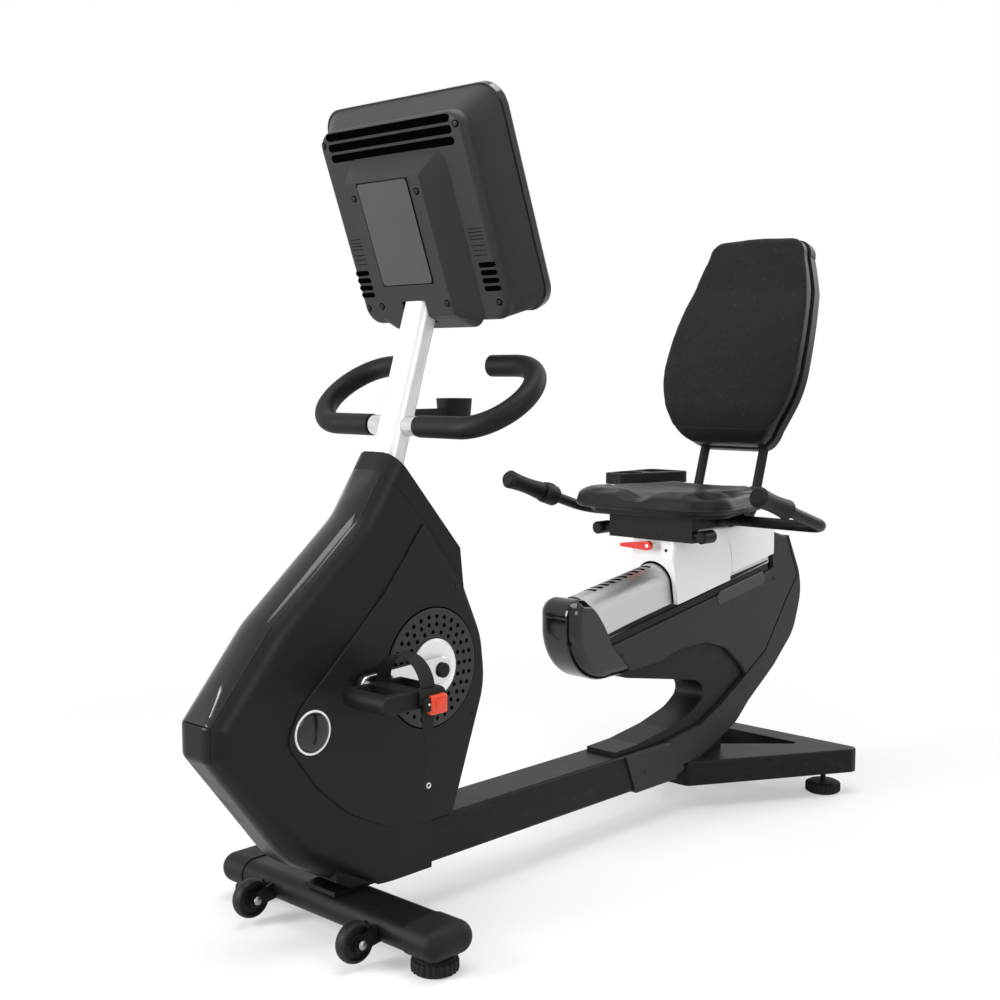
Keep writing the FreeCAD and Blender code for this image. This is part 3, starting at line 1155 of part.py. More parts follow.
def rear_base():
    rim = [("base_front_x", "-column_half_w - 10"), ("base_front_x", "column_half_w + 10"),
           ("base_rear_x + 26", "base_tip_y"), ("base_rear_x", "base_tip_y"), ("base_rear_x", "-base_tip_y"),
           ("base_rear_x + 26", "-base_tip_y")]
    window = [("-567", "0"), ("base_rear_x + base_bar", "150"), ("base_rear_x + base_bar", "-150")]
    outer = plate("base_outer", "XY_Plane", rim[0], *rim[1:], thick="base_high", lift="base_low", side="One side")
    base = round_edges(outer, outer.Tip, "14", runs_along(AXIS_Z))
    top = size("base_low + base_high")
    outer.Tip = round_edges(outer, base, "5", lambda edge: abs(middle_of(edge).z - top) < TOUCH)
    hole = plate("base_hole", "XY_Plane", window[0], *window[1:], thick="base_high + 20", lift="base_low - 10",
                 side="One side")
    hole.Tip = round_edges(hole, hole.Tip, "10", runs_along(AXIS_Z))
    studs = [rod("base_stud_hole_%s" % way, "stud_r + run_gap", "stud_long + foot_thick - base_low + 2.5", "rear_foot_x",
                 way + "rear_foot_y", "base_low - 1", "Z") for way in ("", "-")]
    inner_rim = inset(rim, "base_wall")
    inner_window = inset(window, "-base_wall")
    under = plate("base_under", "XY_Plane", inner_rim[0], *inner_rim[1:], thick="base_high - base_wall + 1",
                  lift="base_low - 1", side="One side")
    keep = plate("base_keep", "XY_Plane", inner_window[0], *inner_window[1:], thick="base_high", lift="base_low - 2",
                 side="One side")
    bosses = [rod("base_boss_%s" % way, "stud_r + 8", "base_high", "rear_foot_x", way + "rear_foot_y", "base_low", "Z")
              for way in ("", "-")]
    pan = cut("base_pan", outer, hole, cut("base_cavity", under, keep))
    node("rear_base", cut("base_drilled", fuse("base_bossed", pan, *bosses), *studs))


CORE = [("-149", "beam_top"), ("-149", "180"), ("-227", "183"), ("-334", "197"), ("-426", "220"), ("-480", "257"),
        ("-440", "288"), ("-366", "301"), ("-186", "333"), ("-129", "411.5"), ("-690", "503"), ("-722", "508"),
        ("-735", "590"), ("-782", "575"), ("-836", "490"), ("-850", "443"), ("-818", "353"), ("-735", "283"),
        ("-631", "216"), ("-580", "174"), ("-440", "120"), ("-333", "94"), ("-333", "beam_top")]


CORE_INSIDE = [("-350", "110"), ("-350", "190"), ("-426", "210"), ("-494", "256"), ("-446", "298"), ("-366", "308"),
               ("-194", "341"), ("-150", "400"), ("-150", "480"), ("-690", "580"), ("-690", "500"), ("-730", "512"),
               ("-740", "578"), ("-776", "568"), ("-828", "488"), ("-840", "443"), ("-812", "358"), ("-730", "291"),
               ("-625", "223"), ("-574", "182"), ("-440", "129")]


def core_plate(name, thick):
    """The column's side outline with its corners rounded."""
    body = plate(name, "XZ_Plane", CORE[0], *CORE[1:], thick=thick)
    base = round_edges(body, body.Tip, "core_bend", at_corners(("-480", "257")))
    base = round_edges(body, base, "2.5 * core_bend", at_corners(("-440", "288")))
    base = round_edges(body, base, "5 * core_bend", at_corners(("-426", "220"), ("-334", "197")))
    body.Tip = round_edges(body, base, "band_bend - 8",
                           at_corners(("-850", "443"), ("-818", "353"), ("-735", "283"), ("-580", "174")))
    return body


def rear_column():
    """The steel core that carries the rail, open like a letter C towards the rider's feet."""
    core = core_plate("core", "2 * column_half_w")
    above = rail_block("core_above", "rail_long + 200", "120", "200", "-rail_long - 12", "-60",
                       "-rail_high - track_high")
    end = rail_block("core_end", "rail_long + 14", "120", "200", "-rail_long - 14", "-60", "-rail_high - track_high")
    foot = block("core_foot", "110", "2 * column_half_w - 16", "40", "-550", "8 - column_half_w", "base_low + base_high")
    inside = plate("core_inside", "XZ_Plane", CORE_INSIDE[0], *CORE_INSIDE[1:],
                   thick="2 * column_half_w - 2 * column_wall")
    node("rear_column", fuse("column", cut("core_trimmed", core, above, end, inside), foot))


COVER = [("-122", "411"), ("-720", "508"), ("-735", "598"), ("-790", "582"), ("-839", "484"), ("-789", "428"),
         ("-705", "319"), ("-622", "273"), ("-600", "299"), ("-538", "347"), ("-459", "370"), ("-364", "368"), ("-285", "351"), ("-190", "347")]


def rear_side_covers():
    body = plate("side_cover", "XZ_Plane", COVER[0], *COVER[1:], thick="cover_half_w - column_half_w - part_gap")
    base = round_edges(body, body.Tip, "60", at_corners(("-538", "347"), ("-459", "370"), ("-364", "368")))
    face = size("-(cover_half_w - column_half_w - part_gap) / 2")
    body.Tip = round_edges(body, base, "cover_round", lambda edge: abs(middle_of(edge).y - face) < TOUCH)
    put(body, "0", "-(cover_half_w + column_half_w + part_gap) / 2", "0")
    above = rail_block("cover_above", "rail_long + 140", "160", "200", "-rail_long - 12", "-80",
                       "-rail_high - track_high - part_gap")
    node("rear_side_covers", pair("side_covers", cut("side_cover_trimmed", body, above)))


BAND = [("-168", "168"), ("-295", "169"), ("-444", "186"), ("-521", "218"), ("-622", "271"), ("-705", "317"),
        ("-790", "426"), ("-841", "483"), ("-793", "583"), ("-797", "584"), ("-846", "494"), ("-858", "443"), ("-825", "349"), ("-739", "276"),
        ("-634", "209"), ("-583", "167"), ("-440", "112"), ("-325", "84"), ("-205", "84"), ("-200", "91")]


def rear_cover_spine():
    """The band that wraps the rear and underside of the column and ends in a boot round the beam."""
    band = plate("band", "XZ_Plane", BAND[0], *BAND[1:], thick="2 * cover_half_w")
    band.Tip = round_edges(band, band.Tip, "band_bend",
                           at_corners(("-846", "494"), ("-858", "443"), ("-825", "349"), ("-739", "276"), ("-583", "167")))
    boot = plate("boot", "XZ_Plane", ("-168", "168"), ("-325", "168"), ("-352", "140"), ("-345", "84"), ("-205", "84"),
                 ("-200", "91"), thick="2 * boot_half_w")
    boot.Tip = round_edges(boot, boot.Tip, "3", runs_along(AXIS_X))
    core_way = core_plate("core_way", "2 * column_half_w + 2 * part_gap")
    beam_way = block("boot_beam_way", "240", "2 * beam_half_w + 2 * part_gap", "beam_top - beam_bottom + 2 * part_gap",
                     "beam_rear - part_gap", "-beam_half_w - part_gap", "beam_bottom - part_gap")
    base_way = block("band_base_way", "420", "600", "base_high + part_gap + 30", "-800", "-300",
                     "base_low - 30")
    foot_way = block("band_foot_way", "112", "2 * column_half_w - 14", "80", "-551", "7 - column_half_w", "base_low + base_high - 2")
    node("rear_cover_spine", cut("band_fitted", fuse("band_and_boot", band, boot), core_way, beam_way, base_way, foot_way))


def rear_nose_cap():
    """The glossy cap over the rail's front end."""
    body = plate("nose_cap", "XZ_Plane", ("-240", "341"), ("-130", "341"), ("-38", "372", "-2", "460"), ("-2", "478"),
                 ("-10", "506", "-38", "516"), ("-240", "484"), thick="2 * nose_half_w")
    side = size("nose_half_w")
    body.Tip = round_edges(body, body.Tip, "nose_round",
                           lambda edge: abs(abs(middle_of(edge).y) - side) < TOUCH and middle_of(edge).x > -230)
    behind = plate("nose_cap_rear", "XZ_Plane", ("-54", "560"), ("-54", "506"), ("-88", "469", "-122", "413"),
                   ("-186", "348"), ("-176", "300"), ("-300", "300"), ("-300", "560"), thick="2 * nose_half_w + 20")
    cover_way = plate("nose_cover_way", "XZ_Plane", COVER[0], *COVER[1:], thick="2 * nose_half_w + 20")
    way = rail_block("nose_rail_way", "rail_long", "2 * rail_half_w + 8 + 2 * part_gap",
                     "rail_high + track_high + 2 * part_gap + 20", "-rail_long + part_gap", "-rail_half_w - 4 - part_gap",
                     "-rail_high - track_high - part_gap")
    core_way = core_plate("nose_core_way", "2 * column_half_w + 2 * part_gap")
    node("rear_nose_cap", cut("nose_cap_hollowed", body, behind, way, core_way, cover_way))


def rail_prism(name, grow, low, start, long):
    """The rail's barrel-topped section along its own frame, grown all round."""
    body = new_body(name)
    sketch = new_sketch(body, name + "_section", "YZ_Plane", start)
    half = "(rail_half_w + (%s))" % grow
    lean = "%s * 0.70711" % half
    outline(sketch, ("-" + half, "-(%s)" % low), (half, "-(%s)" % low), (half, "-rail_half_w"),
            (lean, lean + " - rail_half_w", "0", grow), ("-" + lean, lean + " - rail_half_w", "-" + half, "-rail_half_w"))
    feature = pad(body, sketch, long, "One side")
    feature.Reversed = True
    return rail_frame(body)


def seat_rail():
    """An extruded rail with a barrel top and a hollow underneath it."""
    body = rail_prism("rail_body", "0", "rail_high", "0", "rail_long")
    bore = rail_block("rail_bore", "rail_long + 2", "2 * rail_half_w - 2 * rail_wall", "rail_high - 34 - rail_wall",
                      "-rail_long - 1", "rail_wall - rail_half_w", "rail_wall - rail_high")
    node("seat_rail", cut("rail_bored", body, bore))


def rail_channel():
    base = rail_block("channel_base", "rail_long - 24", "2 * rail_half_w + 8", "track_high", "-rail_long + 10",
                      "-rail_half_w - 4", "-rail_high - track_high")
    node("rail_channel", base)


# ---- seat ----

def seat_carriage():
    corners = [("-339", "472.5"), ("-321", "572"), ("-326", "saddle_top"), ("-704", "saddle_top"),
               ("saddle_rear_x", "612"), ("saddle_rear_x", "549"), ("-537", "520"), ("-537", "505")]
    body = plate("carriage_body", "XZ_Plane", corners[0], *corners[1:], thick="2 * saddle_half_w")
    base = round_edges(body, body.Tip, "14", at_corners(("-704", "saddle_top"), ("saddle_rear_x", "612"), corners[2]))
    side = size("saddle_half_w")
    top = size("saddle_top - 60")
    body.Tip = round_edges(body, base, "8", lambda edge: abs(abs(middle_of(edge).y) - side) < TOUCH
                           and middle_of(edge).z > top)
    pin_boss = rod("lever_pin", "4", "34", "lever_x - 30", "lever_y", "lever_z", "X")
    tunnel = rail_prism("tunnel", "tunnel_gap", "rail_high + 60", "60", "rail_long + 160")
    wells = [block("bracket_notch", "bracket_thick + 2 * part_gap", "200", "60", "cross_x - part_gap", "-100",
                   "cross_z - 16 - part_gap")]
    for name, spot in ROLLERS:
        x, z = rail_spot(spot, "roller_r + part_gap")
        wells.append(rod(name + "_well", "roller_r + 1.5", "roller_wide + 4", x, "-roller_wide / 2 - 2", z))
        wells.append(rod(name + "_shaft_way", "4 + run_gap", "82", x, "-41", z))
    node("seat_carriage", cut("carriage_hollowed", fuse("carriage_raw", body, pin_boss), tunnel, *wells))


ROLLERS = (("roller_front", "-330"), ("roller_rear", "-470"))


def carriage_rollers():
    for name, spot in ROLLERS:
        x, z = rail_spot(spot, "roller_r + part_gap")
        shaft = rod(name + "_shaft", "4", "80", x, "-40", z)
        tyre = rod(name + "_tyre", "roller_r", "roller_wide", x, "-roller_wide / 2", z)
        node(name, fuse(name + "_whole", shaft, tyre))


def seat_crossbar():
    bracket = block("cross_bracket", "bracket_thick", "2 * bracket_half", "pan_z - cross_z + 16", "cross_x",
                    "-bracket_half", "cross_z - 16")
    bar = rod("cross_tube", "9", "2 * cross_half", "cross_x + bracket_thick / 2", "-cross_half", "cross_z")
    knob = turned("cross_knob", ("0", "-knob_long / 2"), ("knob_r - 3", "-knob_long / 2"), ("knob_r", "3 - knob_long / 2"),
                  ("knob_r", "knob_long / 2 - 3"), ("knob_r - 3", "knob_long / 2"), ("0", "knob_long / 2"))
    put(knob, "cross_x + bracket_thick / 2", "-cross_half - 6", "cross_z", AXIS_Y, "90")
    node("seat_crossbar", fuse("crossbar", bracket, bar, knob, mirror("cross_knob_other", knob)))


def post_tube(name, radius):
    """A backrest post: along the frame, round a bend and up behind the backrest."""
    body = new_body(name)
    path = outline(new_sketch(body, name + "_path", "XZ_Plane"), ("-500", "641"), ("-545", "641"),
                   ("-580.4", "655.6", "-592.7", "675.9"), ("-664.3", "901.9"), closed=False)
    face = new_sketch(body, name + "_ring", "YZ_Plane", "-500")
    round_outline(face, radius, "0", "641")
    doc.recompute()
    feature = body.newObject("PartDesign::AdditivePipe", name + "_pipe")
    feature.Profile = face
    feature.Spine = (path, ["Edge1", "Edge2", "Edge3"])
    doc.recompute()
    return put(body, "0", "-post_y", "0")


def side_tube(name, radius, lift="side_long"):
    """The tube of the side handles: back along the rider's right, under the seat and forward again."""
    body = pipe(name, "XY_Plane", ("YZ_Plane", lift, "-side_y", "0"), radius, (lift, "-side_y"), ("side_bend", "-side_y"),
                ("side_bend * 0.2929", "side_bend * 0.2929 - side_y", "0", "side_bend - side_y"), ("0", "side_y - side_bend"),
                ("side_bend * 0.2929", "side_y - side_bend * 0.2929", "side_bend", "side_y"), (lift, "side_y"))
    return put(body, "side_rear_x", "0", "side_rear_z", AXIS_Y, "-side_tilt")


def seat_frame():
    rails = block("frame_rail", "cross_x + 610 - part_gap", "22", "pan_z - saddle_top", "-610", "-post_y + 20", "saddle_top")
    other = mirror("frame_rail_other", rails)
    rear = block("frame_rear", "24", "2 * post_y + 26", "pan_z - saddle_top", "-560", "-post_y - 13", "saddle_top")
    post = post_tube("back_post", "post_r")
    tube = side_tube("handle_tube", "side_tube_r")
    node("seat_frame", fuse("seat_frame_whole", rails, other, rear, post, mirror("back_post_other", post), tube))


def arm_piece(thing, x, y="-side_y"):
    """Lay a turned piece along a side handle."""
    return put(thing, "side_rear_x + (%s) * cos(side_tilt)" % x, y, "side_rear_z + (%s) * sin(side_tilt)" % x, AXIS_Y,
               "90 - side_tilt")


def side_grips():
    bore = "side_tube_r + run_gap"
    body = turned("side_grip", (bore, "0"), ("side_grip_r - 3", "0"), ("side_grip_r", "3"),
                  ("side_grip_r - 3", "side_grip_long / 2", "side_grip_r", "side_grip_long - 8"),
                  ("side_grip_r - 6", "side_grip_long"), ("0", "side_grip_long"), ("0", "side_grip_long - 4"),
                  (bore, "side_grip_long - 4"))
    arm_piece(body, "side_long - side_grip_long + 4 + run_gap")
    node("side_grips", pair("side_grip_pair", body))


def control_pod():
    bore = "side_tube_r + run_gap"
    body = turned("pod_body", (bore, "0"), ("22", "0"), ("24", "4"), ("24", "pod_long - 6"), ("19", "pod_long"),
                  (bore, "pod_long"))
    arm_piece(body, "side_long - side_grip_long - pod_long - 2")
    centre = "(side_long - side_grip_long - pod_long / 2 - 2)"
    pod_spot = lambda thing, lift: put(thing, "side_rear_x + %s * cos(side_tilt) - (%s) * sin(side_tilt)" % (centre, lift),
                                       "-side_y", "side_rear_z + %s * sin(side_tilt) + (%s) * cos(side_tilt)" % (centre, lift),
                                       AXIS_Y, "-side_tilt")
    well = block("button_well_box", "22 + 2 * part_gap", "14 + 2 * part_gap", "20", "0", "0", "0")
    put(well, "side_rear_x + (%s - 11 - part_gap) * cos(side_tilt) - 16 * sin(side_tilt)" % centre, "-side_y - 7 - part_gap",
        "side_rear_z + (%s - 11 - part_gap) * sin(side_tilt) + 16 * cos(side_tilt)" % centre, AXIS_Y, "-side_tilt")
    node("control_pod", cut("pod_with_well", body, well))
    cap = block("button_cap", "22", "14", "7", "0", "0", "0")
    put(cap, "side_rear_x + (%s - 11) * cos(side_tilt) - 18.2 * sin(side_tilt)" % centre, "-side_y - 7",
        "side_rear_z + (%s - 11) * sin(side_tilt) + 18.2 * cos(side_tilt)" % centre, AXIS_Y, "-side_tilt")
    node("pod_button", cap)


def seat_pan():
    body = new_body("pan_body")
    sketch = new_sketch(body, "pan_outline", "XY_Plane", "pan_z")
    outline(sketch, ("cushion_rear_x + 16", "-126"), ("cushion_front_x - 90", "14 - cushion_half_w"),
            ("cushion_front_x - 20", "-110"), ("cushion_front_x - 20", "110"),
            ("cushion_front_x - 90", "cushion_half_w - 14"), ("cushion_rear_x + 16", "126"))
    base = pad(body, sketch, "pan_thick", "One side")
    base = round_edges(body, base, "26", runs_along(AXIS_Z))
    low = size("pan_z")
    body.Tip = round_edges(body, base, "6", lambda edge: abs(middle_of(edge).z - low) < TOUCH)
    node("seat_pan", body)


def seat_cushion():
    body = new_body("cushion_body")
    sketch = new_sketch(body, "cushion_outline", "XY_Plane", "pan_z + pan_thick")
    outline(sketch, ("cushion_rear_x", "-132"), ("-450", "-172", "-350", "-cushion_half_w"),
            ("cushion_front_x - 28", "22 - cushion_half_w", "cushion_front_x - 6", "-110"),
            ("cushion_front_x", "0", "cushion_front_x - 6", "110"),
            ("cushion_front_x - 28", "cushion_half_w - 22", "-350", "cushion_half_w"),
            ("-450", "172", "cushion_rear_x", "132"))
    base = pad(body, sketch, "cushion_high", "One side")
    low = size("pan_z + pan_thick")
    top = size("pan_z + pan_thick + cushion_high")
    base = round_edges(body, base, "14", runs_along(AXIS_Z))
    base = round_edges(body, base, "cushion_round", lambda edge: abs(middle_of(edge).z - top) < TOUCH)
    body.Tip = round_edges(body, base, "10", lambda edge: abs(middle_of(edge).z - low) < TOUCH)
    node("seat_cushion", body)


def back_front(name, grow):
    """The backrest's outline seen from the rider."""
    body = new_body(name)
    sketch = new_sketch(body, name + "_front", "YZ_Plane", "-200")
    low = "back_low_half + (%s)" % grow
    top = "back_top_half + (%s)" % grow
    wide = "back_half_w + (%s)" % grow
    outline(sketch, ("34 - (%s)" % low, "back_foot"), ("(%s) - 34" % low, "back_foot"),
            (low, "back_foot + 12", "(%s) + 26" % low, "60"), ("(%s) - 13" % wide, "120", wide, "200"),
            ("(%s) - 12" % wide, "330", top, "back_high - 42"), ("(%s) - 11" % top, "back_high - 11", "(%s) - 44" % top, "back_high"),
            ("0", "back_high + 4", "44 - (%s)" % top, "back_high"),
            ("11 - (%s)" % top, "back_high - 11", "-(%s)" % top, "back_high - 42"), ("12 - (%s)" % wide, "330", "-(%s)" % wide, "200"),
            ("13 - (%s)" % wide, "120", "-(%s) - 26" % low, "60"), ("-(%s)" % low, "back_foot + 12", "34 - (%s)" % low, "back_foot"))
    pad(body, sketch, "400", "One side")
    return put(body, "back_x", "0", "back_z", AXIS_Y, "-back_tilt")


def back_profile(name, front, rear):
    """The backrest's side outline between two depths behind its front face."""
    def spot(x, z, depth):
        return ("%s - (%s) * cos(back_tilt)" % (x, depth), "%s - (%s) * sin(back_tilt)" % (z, depth))
    chain = [("-600", "788"), ("-571", "835"), ("-566", "892"), ("-605", "1024"), ("-673", "1164"), ("-712", "1300")]
    ahead = [spot(x, z, front) for x, z in chain]
    behind = [spot(x, z, rear) for x, z in chain]
    return plate(name, "XZ_Plane", ahead[0], ahead[1] + ahead[2], ahead[3] + ahead[4], ahead[5], behind[5], behind[4],
                 behind[3] + behind[2], behind[1] + behind[0], thick="2 * back_half_w + 40")


def backrest():
    pad_body = common("pad_form", back_front("pad_front", "0"), back_profile("pad_side", "0", "pad_thick"))
    pad_ways = post_tube("pad_post_way", "post_r + part_gap")
    node("backrest_pad", cut("pad_with_posts", pad_body, pad_ways, mirror("pad_post_way_other", pad_ways)))
    rear = common("shell_form", back_front("shell_front", "-3"),
                  back_profile("shell_side", "pad_thick", "pad_thick + shell_thick"))
    way = post_tube("post_way", "post_r + run_gap")
    node("backrest_shell", cut("shell_with_posts", rear, way, mirror("post_way_other", way)))


def seat_tray():
    """A small tray beside the seat with a bottle seat, held on a leg from the handle tube."""
    low = "tray_z - tray_high"
    rim = [("-640", "-tray_y - 40"), ("-452", "-tray_y - 40"), ("-452", "16 - tray_y"), ("-498", "40 - tray_y"),
           ("-640", "80 - tray_y")]
    body = plate("tray_form", "XY_Plane", rim[0], *rim[1:], thick="tray_high", lift=low, side="One side")
    base = round_edges(body, body.Tip, "18", runs_along(AXIS_Z))
    top = size("tray_z")
    body.Tip = round_edges(body, base, "3", lambda edge: abs(middle_of(edge).z - top) < TOUCH)
    cup = rod("tray_cup", "tray_cup_r", "tray_high", "-500", "-tray_y - 2", "tray_z - tray_high + 3", "Z")
    well = plate("tray_well", "XY_Plane", ("-628", "-tray_y - 30"), ("-552", "-tray_y - 30"), ("-552", "30 - tray_y"),
                 ("-628", "56 - tray_y"), thick="tray_high", lift=low + " + 3", side="One side")
    well.Tip = round_edges(well, well.Tip, "10", runs_along(AXIS_Z))
    leg = rod("tray_leg", "10", "tray_z - tray_high - side_rear_z - side_tube_r - part_gap", "side_rear_x", "-tray_y",
              "side_rear_z + side_tube_r + part_gap", "Z")
    node("seat_tray", fuse("tray_whole", cut("tray_hollowed", body, cup, well), leg))


def seat_lever():
    body = new_body("lever_body")
    sketch = new_sketch(body, "lever_outline", "YZ_Plane", "lever_x - 5")
    outline(sketch, ("-lever_long", "-7"), ("0", "-10"), ("10", "0", "0", "10"), ("-lever_long", "1"),
            ("-lever_long - 4", "-3", "-lever_long", "-7"))
    base = pad(body, sketch, "9", "One side")
    put(body, "0", "lever_y", "lever_z")
    hole = rod("lever_hole", "4 + run_gap", "40", "lever_x - 20", "lever_y", "lever_z", "X")
    node("seat_lever", cut("lever_bored", body, hole))


# ---- build, check and write out ----

for make in (front_stabiliser, stabiliser_end_caps, levelling_feet, transport_wheels, main_beam, drive_frame,
             crank_bearings, crank_axle, hub_discs, crank_arms, pedals, drive_belt, drive_pulley, flywheel,
             generator_stator, belt_idler, front_housing, side_panels, crank_guards, mast, handlebar, handlebar_grips,
             accessory_cup, console_housing, console_bezel, console_screen, console_hatch, control_board, rear_base,
             rear_column, rear_side_covers, rear_cover_spine, rear_nose_cap, seat_rail, rail_channel, seat_carriage,
             carriage_rollers, seat_crossbar, seat_frame, side_grips, control_pod, seat_pan, seat_cushion, backrest,
             seat_tray, seat_lever):
    make()

doc.recompute()
faults = []
for thing in doc.Objects:
    if "Invalid" in thing.State or "Error" in thing.State:
        faults.append(thing.Name + " " + str(thing.State))
for thing in nodes:
    if thing.Shape.isNull() or not thing.Shape.isValid() or not thing.Shape.Solids:
        faults.append(thing.Label + " has no valid solid")
if faults:
    raise RuntimeError("; ".join(faults))

os.makedirs("parts", exist_ok=True)
for thing in nodes:
    thing.Shape.exportStep("parts/" + thing.Label + ".step")
print("wrote", len(nodes), "parts")
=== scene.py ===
import math

import bmesh
import bpy
import numpy
from mathutils import Matrix, Vector


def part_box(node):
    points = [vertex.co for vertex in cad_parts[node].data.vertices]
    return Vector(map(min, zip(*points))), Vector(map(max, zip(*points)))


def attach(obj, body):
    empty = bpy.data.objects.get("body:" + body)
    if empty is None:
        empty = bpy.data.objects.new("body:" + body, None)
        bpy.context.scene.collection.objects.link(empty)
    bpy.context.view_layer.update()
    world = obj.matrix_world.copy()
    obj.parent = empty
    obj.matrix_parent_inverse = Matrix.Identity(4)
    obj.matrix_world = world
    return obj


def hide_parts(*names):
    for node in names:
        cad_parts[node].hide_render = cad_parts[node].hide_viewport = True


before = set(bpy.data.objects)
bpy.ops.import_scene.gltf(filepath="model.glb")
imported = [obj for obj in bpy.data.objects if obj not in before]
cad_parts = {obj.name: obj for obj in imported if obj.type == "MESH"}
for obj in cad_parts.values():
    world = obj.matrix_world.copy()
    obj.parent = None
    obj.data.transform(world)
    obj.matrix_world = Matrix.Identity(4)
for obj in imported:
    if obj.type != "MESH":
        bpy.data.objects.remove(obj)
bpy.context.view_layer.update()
scene = bpy.context.scene
scene.view_settings.view_transform = "Standard"

# --- Camera -------------------------------------------------------------------
# A standing viewer ahead of the bike and to the rider's left, at chest height,
# with a slightly long lens. The horizon is level.
camera = bpy.data.objects.new("camera", bpy.data.cameras.new("camera"))
scene.collection.objects.link(camera)
scene.camera = camera
camera.data.sensor_width = 36
camera.data.lens = 50.33
camera.location = (2.100, 1.830, 0.9765)
camera.rotation_mode = "QUATERNION"
camera.rotation_quaternion = Vector((-0.7241, -0.6834, -0.0921)).to_track_quat("-Z", "Y")


# --- Studio -------------------------------------------------------------------
# A white sweep of paper under the bike, which fades into a white room, and four
# soft lamps: one overhead, one to the left, one in front and one behind.
def linear(colour):
    """An sRGB hex colour as the linear values that a shader takes."""
    parts = [int(colour[i:i + 2], 16) / 255 for i in (1, 3, 5)]
    return [c / 12.92 if c <= 0.04045 else ((c + 0.055) / 1.055) ** 2.4 for c in parts] + [1.0]


def add(tree, kind, links=None, **settings):
    """One node, with its settings, its input values and the links that come to it."""
    made = tree.nodes.new(kind)
    for name, value in settings.items():
        setattr(made, name, value)
    for name, value in (links or {}).items():
        if isinstance(value, bpy.types.NodeSocket):
            tree.links.new(value, made.inputs[name])
        else:
            made.inputs[name].default_value = value
    return made


def background_share(tree):
    """1 where a ray shows the background itself: to the eye, in a reflection or through glass."""
    ray = add(tree, "ShaderNodeLightPath").outputs
    share = add(tree, "ShaderNodeMath", {0: ray["Is Camera Ray"], 1: ray["Is Glossy Ray"]},
                operation="MAXIMUM")
    return add(tree, "ShaderNodeMath", {0: share.outputs[0], 1: ray["Is Transmission Ray"]},
               operation="MAXIMUM").outputs[0]


def built(name, form, *materials, smooth=False):
    """A finished bmesh form as an object of its own."""
    mesh = bpy.data.meshes.new(name)
    form.to_mesh(mesh)
    form.free()
    for material in materials:
        mesh.materials.append(material)
    if smooth:
        for face in mesh.polygons:
            face.use_smooth = True
    made = bpy.data.objects.new(name, mesh)
    scene.collection.objects.link(made)
    return made


room = bpy.data.worlds.new("white_room")
scene.world = room
room.use_nodes = True
tree = room.node_tree
tree.nodes.clear()
dim = add(tree, "ShaderNodeBackground", {"Color": linear("#eef0f2"), "Strength": 0.24})
white = add(tree, "ShaderNodeBackground", {"Color": (1, 1, 1, 1), "Strength": 1.0})
mixed = add(tree, "ShaderNodeMixShader",
            {0: background_share(tree), 1: dim.outputs[0], 2: white.outputs[0]})
add(tree, "ShaderNodeOutputWorld", {"Surface": mixed.outputs[0]})

paper = bpy.data.materials.new("white_paper_sweep")
paper.use_nodes = True
tree = paper.node_tree
tree.nodes.clear()
spot = add(tree, "ShaderNodeTexCoord").outputs["Object"]
far = add(tree, "ShaderNodeVectorMath", {0: spot}, operation="LENGTH")
fade = add(tree, "ShaderNodeMapRange", {"Value": far.outputs["Value"], "From Min": 0.95, "From Max": 1.9,
                                         "To Min": 0.42})
sheet = add(tree, "ShaderNodeBsdfDiffuse", {"Color": linear("#fbfbfb")})
glow = add(tree, "ShaderNodeEmission", {"Color": (1, 1, 1, 1), "Strength": 1.0})
share = add(tree, "ShaderNodeMath", {0: fade.outputs[0], 1: background_share(tree)}, operation="MULTIPLY")
mixed = add(tree, "ShaderNodeMixShader", {0: share.outputs[0], 1: sheet.outputs[0], 2: glow.outputs[0]})
add(tree, "ShaderNodeOutputMaterial", {"Surface": mixed.outputs[0]})

form = bmesh.new()
bmesh.ops.create_grid(form, x_segments=4, y_segments=4, size=14)
floor = built("floor", form, paper)
LAMPS_AIM = Vector((0, 0, 0.6))

for name, place, wide, high, power in (
    ("lamp_above", (0.3, 0.3, 3.2), 2.2, 2.2, 74),
    ("lamp_left", (1.0, 3.3, 1.7), 1.6, 1.4, 36),
    ("lamp_front", (3.2, -1.3, 1.5), 0.9, 2.2, 112),
    ("lamp_rear", (-3.0, 0.6, 2.2), 2.2, 2.2, 40),
):
    lamp = bpy.data.objects.new(name, bpy.data.lights.new(name, "AREA"))
    lamp.data.shape = "RECTANGLE"
    lamp.data.size, lamp.data.size_y, lamp.data.energy = wide, high, power
    lamp.location = place
    lamp.rotation_mode = "QUATERNION"
    lamp.rotation_quaternion = (LAMPS_AIM - Vector(place)).to_track_quat("-Z", "Y")
    scene.collection.objects.link(lamp)


